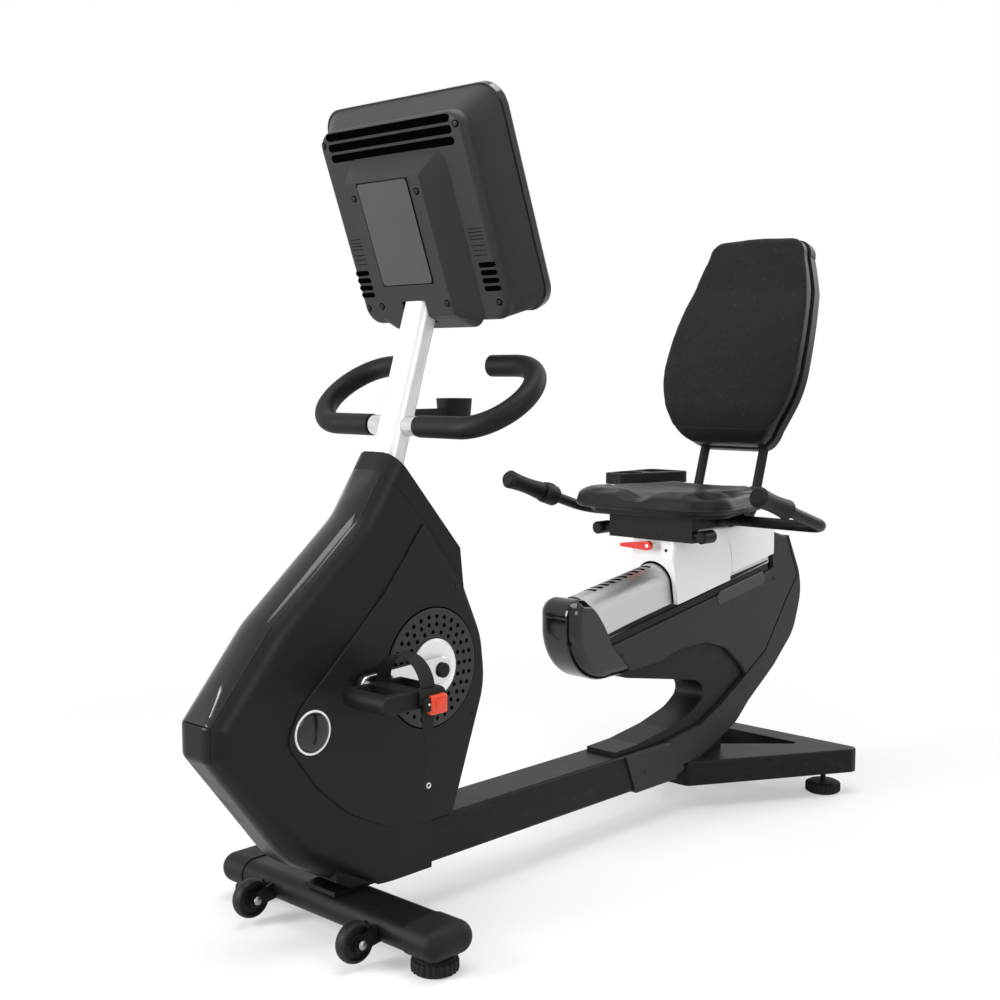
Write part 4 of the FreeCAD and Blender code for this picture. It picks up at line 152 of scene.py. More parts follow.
# --- Moulded covers -----------------------------------------------------------
# The front housing and its panels are injection-moulded ABS with a fine spark-eroded
# grain. The eye gets a soft, slightly cloudy satin with faint rub marks.
def finish(name, colour, rough, *layers, **shader):
    """A surface: its colour and roughness, then the patterns laid over them.

    A layer is its pattern, its size in millimetres, the stretch along X, Y and Z, what it
    changes, and how much: a second colour and its share, a roughness, or a height in mm.
    """
    made = bpy.data.materials.new(name)
    made.use_nodes = True
    tree = made.node_tree
    tree.nodes.clear()
    body = add(tree, "ShaderNodeBsdfPrincipled", {"Roughness": rough, **shader})
    add(tree, "ShaderNodeOutputMaterial", {"Surface": body.outputs[0]})
    spot = add(tree, "ShaderNodeTexCoord").outputs["Object"]
    tint, gloss, relief = None, None, None
    for pattern, size, stretch, effect, *amount in layers:
        place = add(tree, "ShaderNodeMapping", {"Vector": spot, "Scale": stretch}).outputs[0]
        per_metre = 1000 / size
        if pattern == "grain":
            level = add(tree, "ShaderNodeTexNoise",
                        {"Vector": place, "Scale": per_metre, "Detail": 3}).outputs[0]
        elif pattern == "specks":
            level = add(tree, "ShaderNodeTexNoise",
                        {"Vector": place, "Scale": per_metre, "Detail": 5}).outputs[0]
            level = add(tree, "ShaderNodeMapRange",
                        {"Value": level, "From Min": 0.56, "From Max": 0.74}).outputs[0]
        elif pattern == "cells":
            level = add(tree, "ShaderNodeTexVoronoi", {"Vector": place, "Scale": per_metre},
                        feature="SMOOTH_F1").outputs[0]
        elif pattern == "creases":
            level = add(tree, "ShaderNodeTexVoronoi", {"Vector": place, "Scale": per_metre},
                        feature="DISTANCE_TO_EDGE").outputs[0]
            level = add(tree, "ShaderNodeMapRange", {"Value": level, "From Max": 0.14}).outputs[0]
        else:
            level = add(tree, "ShaderNodeTexWave", {"Vector": place, "Scale": per_metre / 3.183},
                        bands_direction=pattern).outputs["Fac"]
        if effect == "tint":
            share = add(tree, "ShaderNodeMath", {0: level, 1: amount[1]}, operation="MULTIPLY").outputs[0]
            under = linear(colour) if tint is None else tint
            tint = add(tree, "ShaderNodeMix", {0: share, 6: under, 7: linear(amount[0])},
                       data_type="RGBA").outputs[2]
        elif effect == "rough":
            gloss = add(tree, "ShaderNodeMath",
                        {0: level, 1: amount[0], 2: rough if gloss is None else gloss},
                        operation="MULTIPLY_ADD").outputs[0]
        else:
            links = {"Height": level, "Strength": 1.0, "Distance": amount[0] / 1000}
            if relief is not None:
                links["Normal"] = relief
            relief = add(tree, "ShaderNodeBump", links).outputs[0]
    if tint is None:
        body.inputs["Base Color"].default_value = linear(colour)
    else:
        tree.links.new(tint, body.inputs["Base Color"])
    if gloss is not None:
        tree.links.new(gloss, body.inputs["Roughness"])
    if relief is not None:
        tree.links.new(relief, body.inputs["Normal"])
    return made


EVEN = (1, 1, 1)


def dress(material, *nodes):
    """Gives CAD nodes their finish."""
    for name in nodes:
        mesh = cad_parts[name].data
        mesh.materials.clear()
        mesh.materials.append(material)


def fixed(piece, body):
    """Puts a finished piece on its body."""
    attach(piece, body)
    return piece


moulded_abs = finish(
    "spark_grained_black_abs", "#121212", 0.36,
    ("grain", 1.6, EVEN, "bump", 0.05), ("grain", 90, EVEN, "rough", 0.10),
    ("specks", 24, (1, 1, 0.2), "rough", 0.12), ("grain", 140, EVEN, "tint", "#1a1a1b", 0.5), IOR=1.25)
panel_abs = finish(
    "satin_panel_abs", "#151515", 0.40,
    ("grain", 1.4, EVEN, "bump", 0.05), ("grain", 120, EVEN, "rough", 0.10),
    ("specks", 30, (0.25, 1, 1), "rough", 0.10), ("grain", 160, EVEN, "tint", "#1f1f20", 0.5), IOR=1.25)
dress(moulded_abs, "shroud_left", "shroud_right", "shroud_collar")
dress(panel_abs, "side_panels")

# --- Spine, nose and rear cap -------------------------------------------------
# These show pieces are ABS lacquered piano black: a deep gloss with a trace of
# orange peel and the fine hairlines that dusting leaves.
piano_black = finish(
    "lacquered_piano_black", "#0b0b0c", 0.10,
    ("grain", 7, EVEN, "bump", 0.02), ("grain", 60, EVEN, "rough", 0.06),
    ("specks", 9, (1, 1, 0.08), "rough", 0.10), **{"Coat Weight": 0.25, "Coat Roughness": 0.05}, IOR=1.4)
soft_black = finish(
    "satin_black_bumper", "#111112", 0.26,
    ("grain", 2.2, EVEN, "bump", 0.04), ("grain", 70, EVEN, "rough", 0.10),
    ("specks", 30, (1, 1, 0.3), "rough", 0.14), IOR=1.25)
dress(piano_black, "front_spine", "rear_nose_cap", "console_bezel")
dress(soft_black, "nose_bumper")
SKIN_LIFT = 0.00015


def crown(name, node, heights, half, rise, material, columns=17):
    """A strip laid on a node's front face, domed across and run out thin at both ends."""
    form = bmesh.new()
    rows = []
    for k, height in enumerate(heights):
        run_out = min(1.0, k / 5, (len(heights) - 1 - k) / 5)
        row = []
        for j in range(columns):
            across = -1 + 2 * j / (columns - 1)
            hit, spot, normal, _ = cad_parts[node].ray_cast(
                Vector((2, across * half, height)), Vector((-1, 0, 0)))
            if not hit:
                spot, normal = row[-1].co.copy(), Vector((0.7, 0, 0.7))
            row.append(form.verts.new(spot + normal * (SKIN_LIFT + rise * run_out * (1 - across * across))))
        rows.append(row)
    for low, up in zip(rows, rows[1:]):
        for j in range(columns - 1):
            form.faces.new((low[j], low[j + 1], up[j + 1], up[j]))
    return built(name, form, material, smooth=True)


# The spine's lacquered skin is a little higher along its middle.
CROWN_LOW, CROWN_STEP, CROWN_ROWS = 0.436, 0.0085, 43
fixed(crown("spine_crown", "front_spine", [CROWN_LOW + CROWN_STEP * k for k in range(CROWN_ROWS)],
            0.033, 0.007, piano_black), "frame")

# --- Crank guards -------------------------------------------------------------
# A charcoal ABS disc on each side of the housing, with three rings of round vent
# holes, each with a small moulded lip, and a gap round its rim. The holes and the
# gap are near-black discs and a ring of painted shade.
guard_abs = finish(
    "charcoal_abs_guard", "#353536", 0.42,
    ("grain", 1.3, EVEN, "bump", 0.05), ("grain", 60, EVEN, "rough", 0.12), IOR=1.25)
# A near-black finish for vent holes, gaps, slots and recesses: painted shade, where the real openings are
# dark.
painted_shade_black = finish("painted_shade_in_holes", "#020202", 0.85,
                    ("grain", 3, EVEN, "tint", "#050505", 0.6), IOR=1.03)
dress(guard_abs, "crank_guards")


def lathe(name, profile, steps, material):
    """A small turned mesh about Z from its (radius, height) points, outside first."""
    form = bmesh.new()
    points = [form.verts.new((radius, 0, height)) for radius, height in profile]
    edges = [form.edges.new(pair) for pair in zip(points, points[1:])]
    bmesh.ops.spin(form, geom=points + edges, cent=(0, 0, 0), axis=(0, 0, 1), angle=math.tau, steps=steps)
    bmesh.ops.remove_doubles(form, verts=form.verts, dist=1e-6)
    bmesh.ops.recalc_face_normals(form, faces=form.faces)
    return built(name, form, material, smooth=True)


def pattern_tree(name, first):
    """A node tree that sets one unit piece on every point of a ring, a row or a loose set."""
    tree = bpy.data.node_groups.new(name, "GeometryNodeTree")
    sockets = {}
    for label, kind in (("Points", "Geometry"), ("Unit", "Object"), ("Finish", "Material"),
                        ("Count", "Int"), ("Radius", "Float"), ("Step", "Vector")):
        socket = tree.interface.new_socket(label, in_out="INPUT", socket_type="NodeSocket" + kind)
        sockets[label] = socket.identifier
    tree.interface.new_socket("Made", in_out="OUTPUT", socket_type="NodeSocketGeometry")
    given = add(tree, "NodeGroupInput").outputs
    unit = add(tree, "GeometryNodeObjectInfo", {"Object": given["Unit"]}).outputs["Geometry"]
    if first == "ring":
        points = add(tree, "GeometryNodeMeshCircle",
                     {"Vertices": given["Count"], "Radius": given["Radius"]}).outputs[0]
        index = add(tree, "GeometryNodeInputIndex").outputs[0]
        part = add(tree, "ShaderNodeMath", {0: index, 1: given["Count"]}, operation="DIVIDE").outputs[0]
        angle = add(tree, "ShaderNodeMath", {0: part, 1: math.tau}, operation="MULTIPLY").outputs[0]
        turn = add(tree, "ShaderNodeCombineXYZ", {"Z": angle}).outputs[0]
    elif first == "row":
        points = add(tree, "GeometryNodeMeshLine",
                     {"Count": given["Count"], "Offset": given["Step"]}).outputs[0]
        turn = None
    else:
        points = given["Points"]
        turn = add(tree, "GeometryNodeInputNamedAttribute", {"Name": "turn"},
                   data_type="FLOAT_VECTOR").outputs[0]
    links = {"Points": points, "Instance": unit}
    if turn is not None:
        links["Rotation"] = turn
    set_out = add(tree, "GeometryNodeInstanceOnPoints", links).outputs[0]
    real = add(tree, "GeometryNodeRealizeInstances", {"Geometry": set_out}).outputs[0]
    done = add(tree, "GeometryNodeSetMaterial", {"Geometry": real, "Material": given["Finish"]}).outputs[0]
    add(tree, "NodeGroupOutput", {"Made": done})
    return tree, sockets


RING, RING_IN = pattern_tree("ring_of_units", "ring")
ROW, ROW_IN = pattern_tree("row_of_units", "row")
SPOTS, SPOTS_IN = pattern_tree("units_at_spots", "spots")


def made_mesh(source):
    """What an object's modifiers make of it, as a plain mesh."""
    scene.view_layers[0].update()
    return bpy.data.meshes.new_from_object(source.evaluated_get(bpy.context.evaluated_depsgraph_get()))


def repeat(name, tree, sockets, unit, material, place=Matrix(), spots=None, **values):
    """The unit set out by a tree, made one plain mesh and moved to its place."""
    mesh = bpy.data.meshes.new(name)
    if spots:
        mesh.from_pydata([spot for spot, _ in spots], [], [])
        turns = mesh.attributes.new("turn", "FLOAT_VECTOR", "POINT")
        for slot, (_, turn) in zip(turns.data, spots):
            slot.vector = turn
    made = bpy.data.objects.new(name, mesh)
    scene.collection.objects.link(made)
    layout = made.modifiers.new("layout", "NODES")
    layout.node_group = tree
    for label, value in dict(values, Unit=unit, Finish=material).items():
        layout[sockets[label]] = value
    plain = made_mesh(made)
    made.modifiers.clear()
    made.data = plain
    plain.transform(place)
    return made


def joined(name, *pieces):
    """Several finished pieces as one object."""
    form = bmesh.new()
    materials = []
    for piece in pieces:
        for material in piece.data.materials:
            if material not in materials:
                materials.append(material)
        before = len(form.faces)
        form.from_mesh(piece.data)
        form.faces.ensure_lookup_table()
        for face in form.faces[before:]:
            face.material_index = materials.index(piece.data.materials[face.material_index])
    for piece in pieces:
        bpy.data.objects.remove(piece)
    return built(name, form, *materials)


def on_side(side, x, y, z):
    """The place of a piece that lies flat on a side face, turned to look outward."""
    return Matrix.Translation((x, side * y, z)) @ Matrix.Rotation(-side * math.pi / 2, 4, "X")


def on_both_sides(name, x, y, z, *units):
    """Copies of some small pieces on the left and the right face, as one object."""
    copies = []
    for side in (1, -1):
        for unit in units:
            copy = bpy.data.objects.new("copy", unit.data.copy())
            copy.data.transform(on_side(side, x, y, z))
            copies.append(copy)
    for unit in units:
        bpy.data.objects.remove(unit)
    return joined(name, *copies)


crank_low, crank_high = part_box("crank_guards")
CRANK = Vector(((crank_low.x + crank_high.x) / 2, 0, (crank_low.z + crank_high.z) / 2))
GUARD_FACE = crank_high.y
PANEL_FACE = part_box("side_panels")[1].y
VENT_RINGS = ((20, 0.0645), (26, 0.0785), (30, 0.0925))
hole = lathe("vent_hole", [(0.0041, 0), (0.0037, 0.0005), (0.0031, 0.0004), (0.0030, 0.00012), (0, 0.0001)],
             10, painted_shade_black)
for side, hand in ((1, "left"), (-1, "right")):
    rings = [repeat("ring", RING, RING_IN, hole, painted_shade_black, on_side(side, CRANK.x, GUARD_FACE, CRANK.z),
                    Count=count, Radius=radius) for count, radius in VENT_RINGS]
    gap = lathe("shadow_gap", [(0.1098, 0), (0.1098, 0.0002), (0.1072, 0.0002), (0.1072, 0)],
                96, painted_shade_black)
    gap.data.transform(on_side(side, CRANK.x, PANEL_FACE, CRANK.z))
    fixed(joined("guard_vents_" + hand, gap, *rings), "frame")
bpy.data.objects.remove(hole)

# --- Housing screws -----------------------------------------------------------
# Dark zinc-plated pan-head screws with a cross recess hold the side panels, the
# rear covers and the beam boot.
zinc = finish("dark_zinc_screw", "#26272a", 0.34, ("grain", 5, EVEN, "rough", 0.2),
              ("grain", 2, EVEN, "tint", "#3c3d40", 0.5), Metallic=0.9)


def screw_head(radius, high):
    """A pan head with a cross cut in its crown."""
    def star(wide, narrow, height):
        return [form.verts.new((radius * (narrow if k % 2 else wide) * math.cos(math.tau * k / 8),
                                radius * (narrow if k % 2 else wide) * math.sin(math.tau * k / 8), height))
                for k in range(8)]

    form = bmesh.new()
    rings = [(radius, 0.0), (radius, high * 0.35), (radius * 0.8, high * 0.85), (radius * 0.5, high)]
    rows = [[form.verts.new((r * math.cos(math.tau * k / 16), r * math.sin(math.tau * k / 16), z))
             for k in range(16)] for r, z in rings]
    for low, up in zip(rows, rows[1:]):
        for k in range(16):
            form.faces.new((low[k], low[(k + 1) % 16], up[(k + 1) % 16], up[k]))
    edge, pit = star(0.46, 0.13, high * 0.98), star(0.34, 0.1, high * 0.2)
    top = rows[-1]
    for k in range(8):
        a, b = edge[k], edge[(k + 1) % 8]
        form.faces.new((top[2 * k], top[2 * k + 1], b, a))
        form.faces.new((top[2 * k + 1], top[(2 * k + 2) % 16], b))
        form.faces.new((a, b, pit[(k + 1) % 8], pit[k]))
    form.faces.new(pit)
    bmesh.ops.recalc_face_normals(form, faces=form.faces)
    return built("screw_head", form, zinc)


def against(node, start, toward):
    """Where a straight line first meets a node, and the turn that sets a piece flat on it."""
    spot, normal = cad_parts[node].ray_cast(Vector(start), Vector(toward))[1:3]
    return spot, normal.to_track_quat("Z", "Y").to_euler()


screw = screw_head(0.0045, 0.0022)
spots = [against(node, (x, side * 0.3, z), (0, -side, 0)) for side in (1, -1) for node, x, z in (
    ("side_panels", 0.338, 0.588), ("side_panels", 0.295, 0.350), ("rear_side_covers", -0.160, 0.387),
    ("rear_side_covers", -0.735, 0.487), ("rear_cover_spine", -0.232, 0.125))]
fixed(repeat("cover_screws", SPOTS, SPOTS_IN, screw, zinc, spots=spots), "frame")

# --- Badge --------------------------------------------------------------------
# A plain round badge on each side of the housing: a domed black disc in a thin
# white rim, glued into a shallow seat.
badge_white = finish("white_badge_rim", "#e9e9e7", 0.3, ("grain", 12, EVEN, "rough", 0.1),
                     ("grain", 30, EVEN, "tint", "#d8d8d6", 0.4))
rim = lathe("rim", [(0.0375, 0), (0.0375, 0.0011), (0.0365, 0.0018), (0.0345, 0.0018), (0.0338, 0.0010),
                    (0.0338, 0)], 48, badge_white)
dome = lathe("dome", [(0.0338, 0), (0.0338, 0.0009), (0.030, 0.0018), (0.018, 0.0026), (0.008, 0.0029),
                      (0, 0.003)], 48, piano_black)
BADGE_X, BADGE_Z = 0.673, 0.384
fixed(on_both_sides("housing_badges", BADGE_X, PANEL_FACE, BADGE_Z, rim, dome), "frame")

# --- Rear covers and label plates ---------------------------------------------
# The rear covers are moulded ABS in a greyer satin than the front. A bare black
# plate with round ends is set into each below the rail.
rear_abs = finish(
    "satin_grey_abs", "#2a2a2b", 0.40,
    ("grain", 1.5, EVEN, "bump", 0.05), ("grain", 110, EVEN, "rough", 0.12),
    ("specks", 26, (0.3, 1, 1), "rough", 0.10), ("grain", 150, EVEN, "tint", "#333334", 0.5), IOR=1.25)
dress(rear_abs, "rear_side_covers", "rear_cover_spine")
RAIL_TILT = math.radians(9.3)


def stadium(name, long, high, thick, material, steps=10):
    """A plate with round ends and a softened front edge, lying flat in XY."""
    form = bmesh.new()
    rows = []
    for inset, lift in ((0, 0), (0, thick * 0.6), (thick * 0.4, thick)):
        row = []
        for end in (1, -1):
            for k in range(steps + 1):
                angle = -math.pi / 2 + math.pi * k / steps + (0 if end > 0 else math.pi)
                reach = high / 2 - inset
                row.append(form.verts.new((end * (long - high) / 2 + reach * math.cos(angle),
                                           reach * math.sin(angle), lift)))
        rows.append(row)
    for low, up in zip(rows, rows[1:]):
        for k in range(len(low)):
            form.faces.new((low[k], low[(k + 1) % len(low)], up[(k + 1) % len(low)], up[k]))
    form.faces.new(rows[-1])
    form.faces.new(rows[0][::-1])
    bmesh.ops.recalc_face_normals(form, faces=form.faces)
    return built(name, form, material)


PLATE_X, PLATE_Z, PLATE_LONG, PLATE_HIGH = -0.597, 0.479, 0.196, 0.030
plates = []
for side in (1, -1):
    plate = stadium("plate", PLATE_LONG, PLATE_HIGH, 0.0016, piano_black)
    plate.data.transform(Matrix.Translation((PLATE_X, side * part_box("rear_side_covers")[1].y, PLATE_Z))
                         @ Matrix.Rotation(RAIL_TILT, 4, "Y")
                         @ Matrix.Rotation(-side * math.pi / 2, 4, "X"))
    plates.append(plate)
fixed(joined("label_plates", *plates), "frame")

# --- Frame steel --------------------------------------------------------------
# The beam, base, column, stabiliser and seat frame are welded steel, powder
# coated black: satin, with the fine orange peel of fused powder.
powder = finish(
    "black_powder_coat", "#101010", 0.38,
    ("grain", 2.4, EVEN, "bump", 0.06), ("grain", 80, EVEN, "rough", 0.12),
    ("specks", 14, (0.4, 1, 1), "tint", "#2a2a2a", 0.35), IOR=1.25)
dress(powder, "main_beam", "rear_base", "rear_column", "front_stabiliser", "drive_frame", "seat_crossbar",
      "seat_frame")

# --- Mast ---------------------------------------------------------------------
# A steel tube in silver-white paint with fine aluminium flake under clear lacquer.
silver = finish(
    "silver_white_flake_paint", "#dcdddf", 0.30,
    ("grain", 0.9, EVEN, "tint", "#c3c5c8", 0.35), ("grain", 70, EVEN, "rough", 0.10),
    ("grain", 8, EVEN, "bump", 0.02), Metallic=0.25, **{"Coat Weight": 0.4, "Coat Roughness": 0.12})
dress(silver, "mast")

# --- Bright and bare steel ----------------------------------------------------
# Cranks, spindles and the handlebar's ferrules are chromed. Axles and bearings
# are ground steel, and the brake wheel is a machined iron casting.
chrome = finish("chromed_steel", "#d4d5d6", 0.12, ("grain", 40, EVEN, "rough", 0.12),
                ("specks", 12, (0.1, 1, 1), "rough", 0.12), ("grain", 20, EVEN, "bump", 0.02), Metallic=1.0)
ground = finish("ground_steel", "#9b9c9e", 0.28, ("grain", 0.5, (1, 0.1, 1), "rough", 0.2),
                ("grain", 30, EVEN, "tint", "#7d7e80", 0.5), Metallic=1.0)
iron = finish("machined_cast_iron", "#6a6b6c", 0.36, ("grain", 1.2, (1, 0.2, 1), "bump", 0.03),
              ("grain", 25, EVEN, "tint", "#4d4d4e", 0.6), Metallic=1.0)
copper = finish("enamelled_copper_winding", "#9a4e22", 0.30, ("X", 1.2, EVEN, "bump", 0.3),
                ("Z", 1.2, EVEN, "tint", "#5c2a10", 0.5), Metallic=0.8)
dress(chrome, "crank_arms", "handlebar")
dress(ground, "crank_axle", "crank_bearings", "belt_idler")
dress(iron, "flywheel")
dress(copper, "generator_stator")

# --- Plain black plastic ------------------------------------------------------
# Small mouldings are glass-filled nylon: matte, with a fine sandy skin.
nylon = finish("black_glass_filled_nylon", "#101011", 0.46, ("grain", 0.9, EVEN, "bump", 0.05),
               ("grain", 40, EVEN, "rough", 0.14), ("grain", 60, EVEN, "tint", "#222223", 0.5), IOR=1.25)
dress(nylon, "drive_pulley", "pedal_left", "pedal_right", "rail_channel", "roller_front", "roller_rear",
      "seat_pan", "stabiliser_end_caps", "accessory_cup", "control_pod", "pod_button", "control_board",
      "seat_tray")

# --- Rubber -------------------------------------------------------------------
# Feet, straps and the drive belt are black rubber: dull, with a dusty bloom and
# small moulding marks. The wheels have a harder polyurethane tread.
rubber = finish("black_moulded_rubber", "#171717", 0.62, ("grain", 1.4, EVEN, "bump", 0.06),
                ("grain", 22, EVEN, "tint", "#2b2a29", 0.6), ("grain", 50, EVEN, "rough", 0.15), IOR=1.25)
tread = finish("polyurethane_wheel", "#1a1a1b", 0.40, ("grain", 2.0, EVEN, "bump", 0.05),
               ("specks", 8, EVEN, "tint", "#3a3937", 0.6), ("grain", 30, EVEN, "rough", 0.15), IOR=1.25)
dress(rubber, "foot_front_left", "foot_front_right", "foot_rear_left", "foot_rear_right",
      "pedal_strap_left", "pedal_strap_right", "drive_belt")
dress(tread, "transport_wheel_left", "transport_wheel_right")

# Each foot is a screw-in pad whose rim is fluted, so that a hand can turn it.
FEET = (("foot_front_left", "front_left_foot"), ("foot_front_right", "front_right_foot"),
        ("foot_rear_left", "rear_left_foot"), ("foot_rear_right", "rear_right_foot"))
for node, body in FEET:
    low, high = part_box(node)
    flute = lathe("flute", [(0.0026, 0.0030), (0.0031, 0.0050), (0.0031, 0.0200), (0.0018, 0.0228),
                            (0, 0.0232)], 8, rubber)
    middle = Matrix.Translation(((low.x + high.x) / 2, (low.y + high.y) / 2, low.z))
    fixed(repeat("flutes_" + node, RING, RING_IN, flute, rubber, middle,
                 Count=24, Radius=(high.x - low.x) / 2 - 0.0010), body)
    bpy.data.objects.remove(flute)

# The wheels turn on zinc-plated axle bolts with domed heads.
FORK_HALF = 0.0195
bolt = lathe("bolt", [(0.0078, 0), (0.0078, 0.0012), (0.0068, 0.0030), (0.0040, 0.0042), (0, 0.0046)],
             20, ground)
for hand in ("left", "right"):
    low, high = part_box("transport_wheel_" + hand)
    hub = (low + high) / 2
    fixed(repeat("wheel_bolts_" + hand, SPOTS, SPOTS_IN, bolt, ground, spots=[
        ((hub.x, hub.y + end * FORK_HALF, hub.z), (-end * math.pi / 2, 0, 0)) for end in (1, -1)]),
        "frame")
bpy.data.objects.remove(bolt)

# --- Beam plug ----------------------------------------------------------------
# A polyethylene plug closes the beam's open front end. It is moulded with rounded
# edges and pressed in flush.
plug_finish = finish("black_polyethylene_plug", "#121213", 0.5, ("grain", 1.2, EVEN, "bump", 0.05),
                     ("grain", 30, EVEN, "rough", 0.12), IOR=1.25)


def rounded_box(name, low, high, radius, material):
    """A block between two corners with all its edges rounded."""
    low, high = Vector(low), Vector(high)
    form = bmesh.new()
    bmesh.ops.create_cube(form, size=1, matrix=Matrix.Translation((low + high) / 2)
                          @ Matrix.Diagonal((*(high - low), 1)))
    bmesh.ops.bevel(form, geom=form.edges[:], offset=radius, segments=3, profile=0.5, affect="EDGES")
    return built(name, form, material, smooth=True)


fixed(rounded_box("beam_plug", (0.6040, -0.0465, 0.1125), (0.6174, 0.0465, 0.1640), 0.002, plug_finish),
      "frame")

# --- Pedal straps -------------------------------------------------------------
# The strap runs through a snap buckle with an orange-red nylon cover, and its
# punched tail ends in a pressed nickel eyelet.
orange = finish("orange_red_nylon_buckle", "#e2421c", 0.34, ("grain", 1.6, EVEN, "bump", 0.04),
                ("grain", 16, EVEN, "tint", "#c23211", 0.5), ("grain", 30, EVEN, "rough", 0.12))
nickel = finish("nickel_plated_eyelet", "#cfcfcb", 0.2, ("grain", 3, EVEN, "rough", 0.15),
                ("grain", 2, EVEN, "tint", "#a8a8a2", 0.5), Metallic=1.0)
BUCKLE_PIN, TAIL_EYELET = (0.011, 0.437), (0.0, 0.298)
for side, hand in ((1, "left"), (-1, "right")):
    low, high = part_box("pedal_strap_" + hand)
    middle_x = (low.x + high.x) / 2
    outer = high.y if side > 0 else -low.y
    pieces = [rounded_box(name, (middle_x + x0, outer + y0, z0), (middle_x + x1, outer + y1, z1),
                          radius, made_of)
              for name, x0, y0, z0, x1, y1, z1, radius, made_of in (
                  ("cover", -0.031, -0.006, 0.418, 0.006, 0.008, 0.450, 0.0034, orange),
                  ("frame", 0.004, -0.006, 0.424, 0.019, 0.006, 0.447, 0.0025, nylon),
                  ("latch", -0.024, 0.006, 0.426, -0.003, 0.0098, 0.442, 0.0016, orange))]
    pin = lathe("pin", [(0.0022, 0), (0.0022, 0.0015), (0.0012, 0.0026), (0, 0.0028)], 12, nickel)
    pin.data.transform(on_side(1, middle_x + BUCKLE_PIN[0], outer + 0.006, BUCKLE_PIN[1]))
    ring = lathe("ring", [(0.0052, 0), (0.0052, 0.0006), (0.0042, 0.0011), (0.0031, 0.0009),
                          (0.0026, 0.0002), (0.0026, -0.0030)], 24, nickel)
    ring.data.transform(on_side(1, middle_x + TAIL_EYELET[0], outer - 0.007, TAIL_EYELET[1]))
    made = joined("buckle_" + hand, pin, ring, *pieces)
    if side < 0:
        made.data.transform(Matrix.Scale(-1, 4, (0, 1, 0)))
        form = bmesh.new()
        form.from_mesh(made.data)
        bmesh.ops.recalc_face_normals(form, faces=form.faces)
        form.to_mesh(made.data)
        form.free()
    fixed(made, hand + "_pedal")

# --- White covers -------------------------------------------------------------
# The seat carriage and the crank's centre discs are white ABS with a bright
# moulded gloss and a little grey mottling.
white_abs = finish("glossy_white_abs", "#ececea", 0.20, ("grain", 80, EVEN, "rough", 0.08),
                   ("grain", 120, EVEN, "tint", "#dedfdf", 0.5), ("grain", 6, EVEN, "bump", 0.02),
                   **{"Coat Weight": 0.2, "Coat Roughness": 0.1})
dress(white_abs, "seat_carriage", "crank_hub_discs")
cap = lathe("dust_cap", [(0.0135, 0), (0.0135, 0.0014), (0.0120, 0.0030), (0.0070, 0.0040), (0, 0.0043)],
            28, nylon)
fixed(on_both_sides("crank_dust_caps", CRANK.x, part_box("crank_axle")[1].y, CRANK.z, cap),
      "crank")
# The gap between two mouldings shows as a soft dark line, never quite black.
seam_dark = finish("shadow_in_a_seam", "#2a2a2a", 0.7, ("grain", 3, EVEN, "tint", "#3c3c3c", 0.5))


def seam_line(name, points, width, side, face, lift=SKIN_LIFT, material=seam_dark):
    """A flat dark line on a side face, through (x, z) points, with its ends narrowed."""
    form = bmesh.new()
    ends = []
    for k, (x, z) in enumerate(points):
        before, after = points[max(k - 1, 0)], points[min(k + 1, len(points) - 1)]
        run = Vector((after[0] - before[0], after[1] - before[1])).normalized()
        half = width / 2 * (0.3 if k in (0, len(points) - 1) else 1)
        ends.append([form.verts.new((x - run.y * half, lift * side, z + run.x * half)),
                     form.verts.new((x + run.y * half, lift * side, z - run.x * half))])
    for low, up in zip(ends, ends[1:]):
        form.faces.new((low[0], low[1], up[1], up[0]) if side > 0 else (up[0], up[1], low[1], low[0]))
    made = built(name, form, material)
    made.data.transform(Matrix.Translation((0, side * face, 0)))
    return made


# The carriage cover is moulded in two halves, which meet at a curved line on each
# side. Two small holes in its front take the fixing screws; they are drawn as
# near-black discs of painted shade.
CARRIAGE_SEAM = [(-0.527, 0.600), (-0.536, 0.578), (-0.542, 0.550), (-0.544, 0.522), (-0.541, 0.502)]
carriage_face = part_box("seat_carriage")[1].y
seams = [seam_line("seam", CARRIAGE_SEAM, 0.0011, side, carriage_face) for side in (1, -1)]
bore = lathe("bore", [(0.0036, 0), (0.0036, 0.0003), (0.0028, 0.00035), (0, 0.0003)], 16, painted_shade_black)
fixed(repeat("carriage_bores", SPOTS, SPOTS_IN, bore, painted_shade_black, spots=[
    against("seat_carriage", (0, side * 0.036, 0.590), (-1, 0, 0)) for side in (1, -1)]),
    "seat")
bpy.data.objects.remove(bore)
fixed(joined("carriage_seams", *seams), "seat")


RAIL_FRONT_X, RAIL_FRONT_TOP, RAIL_CROWN = -0.106, 0.52453, 0.043


def rail_top(x):
    """Height of the rail's crown at a place along it."""
    return RAIL_FRONT_TOP - (x - RAIL_FRONT_X) * math.tan(RAIL_TILT)


# A near-black band of painted shade lines the arch in which the carriage runs on the
# rail, for the dark gap round the rail. Rays run down the rail from ahead of the
# carriage, and the band lies where they meet its front.
RAY_X, RAY_RADIUS = -0.200, 0.050
SHADE_INNER, SHADE_OUTER, SHADE_LEG, SHADE_DEEP = 0.0433, 0.0472, -0.045, 0.128
down_rail = Vector((-math.cos(RAIL_TILT), 0, math.sin(RAIL_TILT)))
turns = [math.radians(degrees) for degrees in range(-90, 91, 6)]
arch = [(-1, SHADE_LEG)] + [(math.sin(turn), math.cos(turn)) for turn in turns] + [(1, SHADE_LEG)]


def arch_point(radius, across, up):
    """A point of the arch, in the upright plane where the rays start."""
    return Vector((RAY_X, radius * across, rail_top(RAY_X) - RAIL_CROWN + (radius * up if up >= 0 else up)))


